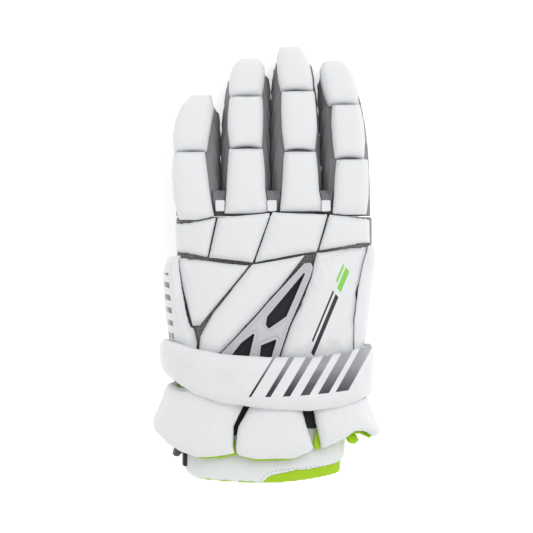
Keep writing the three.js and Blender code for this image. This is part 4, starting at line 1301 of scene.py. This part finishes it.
class GLOVE_OT_stage(Operator):
    """Set the glove on a pale floor under soft light, with the camera straight above it"""

    bl_idname = "glove.stage"
    bl_label = "Stage"

    def execute(self, context):
        stage = context.scene.glove_stage
        work = bmesh.new()
        bmesh.ops.create_grid(work, x_segments=8, y_segments=8, size=FLOOR["half"])
        mesh = bpy.data.meshes.new("studio_floor")
        work.to_mesh(mesh)
        work.free()
        floor = bpy.data.objects.new("studio_floor", mesh)
        floor.location.z = -FLOOR["drop"]
        mesh.materials.append(floor_finish("studio_floor", stage.floor, stage.glow))
        context.scene.collection.objects.link(floor)
        world = bpy.data.worlds.new("studio")
        context.scene.world = world
        world.use_nodes = True
        back = world.node_tree.nodes["Background"]
        back.inputs["Color"].default_value = (1.0, 1.0, 1.0, 1.0)
        back.inputs["Strength"].default_value = stage.sky
        for name, row in LIGHTS.items():
            light = bpy.data.lights.new(name, "AREA")
            light.energy = stage.key * row["share"]
            light.size = row["width"]
            lamp = bpy.data.objects.new(name, light)
            lamp.location = row["place"]
            lamp.rotation_mode = "QUATERNION"
            lamp.rotation_quaternion = (-Vector(row["place"])).to_track_quat("-Z", "Y")
            context.scene.collection.objects.link(lamp)
        eye = bpy.data.cameras.new("photo_camera")
        eye.sensor_width = CAMERA["sensor"]
        eye.lens = eye.sensor_width * stage.camera_height / stage.view_width
        eye.clip_end = CAMERA["reach"]
        camera = bpy.data.objects.new("photo_camera", eye)
        middle = plan(CAMERA["column"], CAMERA["row"])
        camera.location = (*middle, stage.camera_height + CAMERA["glove_top"])
        context.scene.collection.objects.link(camera)
        context.scene.camera = camera
        context.scene.view_settings.view_transform = "Standard"
        return {"FINISHED"}


STEPS = (
    "stage", "finger_pads", "thumb_pads", "knuckle_pads", "back_panels", "side_pads", "finger_stalls",
    "hand_shell", "finger_webs", "vent", "wristband", "cuff_petals", "cuff_linings", "cuff_band",
    "cuff_fittings",
)


class GLOVE_PT_maker(Panel):
    """Sizes, colours and making of the glove"""

    bl_idname = "GLOVE_PT_maker"
    bl_label = "Lacrosse Glove"
    bl_space_type = "VIEW_3D"
    bl_region_type = "UI"
    bl_category = "Glove"

    def draw(self, context):
        scene = context.scene
        for title, group in (("Padding", scene.glove_padding), ("Colours", scene.glove_colours),
                             ("Stage", scene.glove_stage)):
            box = self.layout.box()
            box.label(text=title)
            for name in group.bl_rna.properties.keys():
                if name not in ("rna_type", "name"):
                    box.prop(group, name)
        for step in STEPS:
            self.layout.operator(f"glove.{step}")


CLASSES = (
    GLOVE_PG_padding, GLOVE_PG_colours, GLOVE_PG_stage, GLOVE_OT_stage, GLOVE_OT_finger_pads,
    GLOVE_OT_thumb_pads, GLOVE_OT_knuckle_pads, GLOVE_OT_back_panels, GLOVE_OT_side_pads,
    GLOVE_OT_finger_stalls, GLOVE_OT_hand_shell, GLOVE_OT_finger_webs, GLOVE_OT_vent,
    GLOVE_OT_wristband, GLOVE_OT_cuff_petals, GLOVE_OT_cuff_linings, GLOVE_OT_cuff_band,
    GLOVE_OT_cuff_fittings, GLOVE_PT_maker,
)


def register():
    for kind in CLASSES:
        bpy.utils.register_class(kind)
    bpy.types.Scene.glove_padding = PointerProperty(type=GLOVE_PG_padding)
    bpy.types.Scene.glove_colours = PointerProperty(type=GLOVE_PG_colours)
    bpy.types.Scene.glove_stage = PointerProperty(type=GLOVE_PG_stage)


def unregister():
    for name in ("glove_padding", "glove_colours", "glove_stage"):
        delattr(bpy.types.Scene, name)
    for kind in reversed(CLASSES):
        bpy.utils.unregister_class(kind)


def make_glove():
    """Registers the add-on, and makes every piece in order."""
    register()
    for step in STEPS:
        getattr(bpy.ops.glove, step)()


if __name__ == "__main__":
    make_glove()
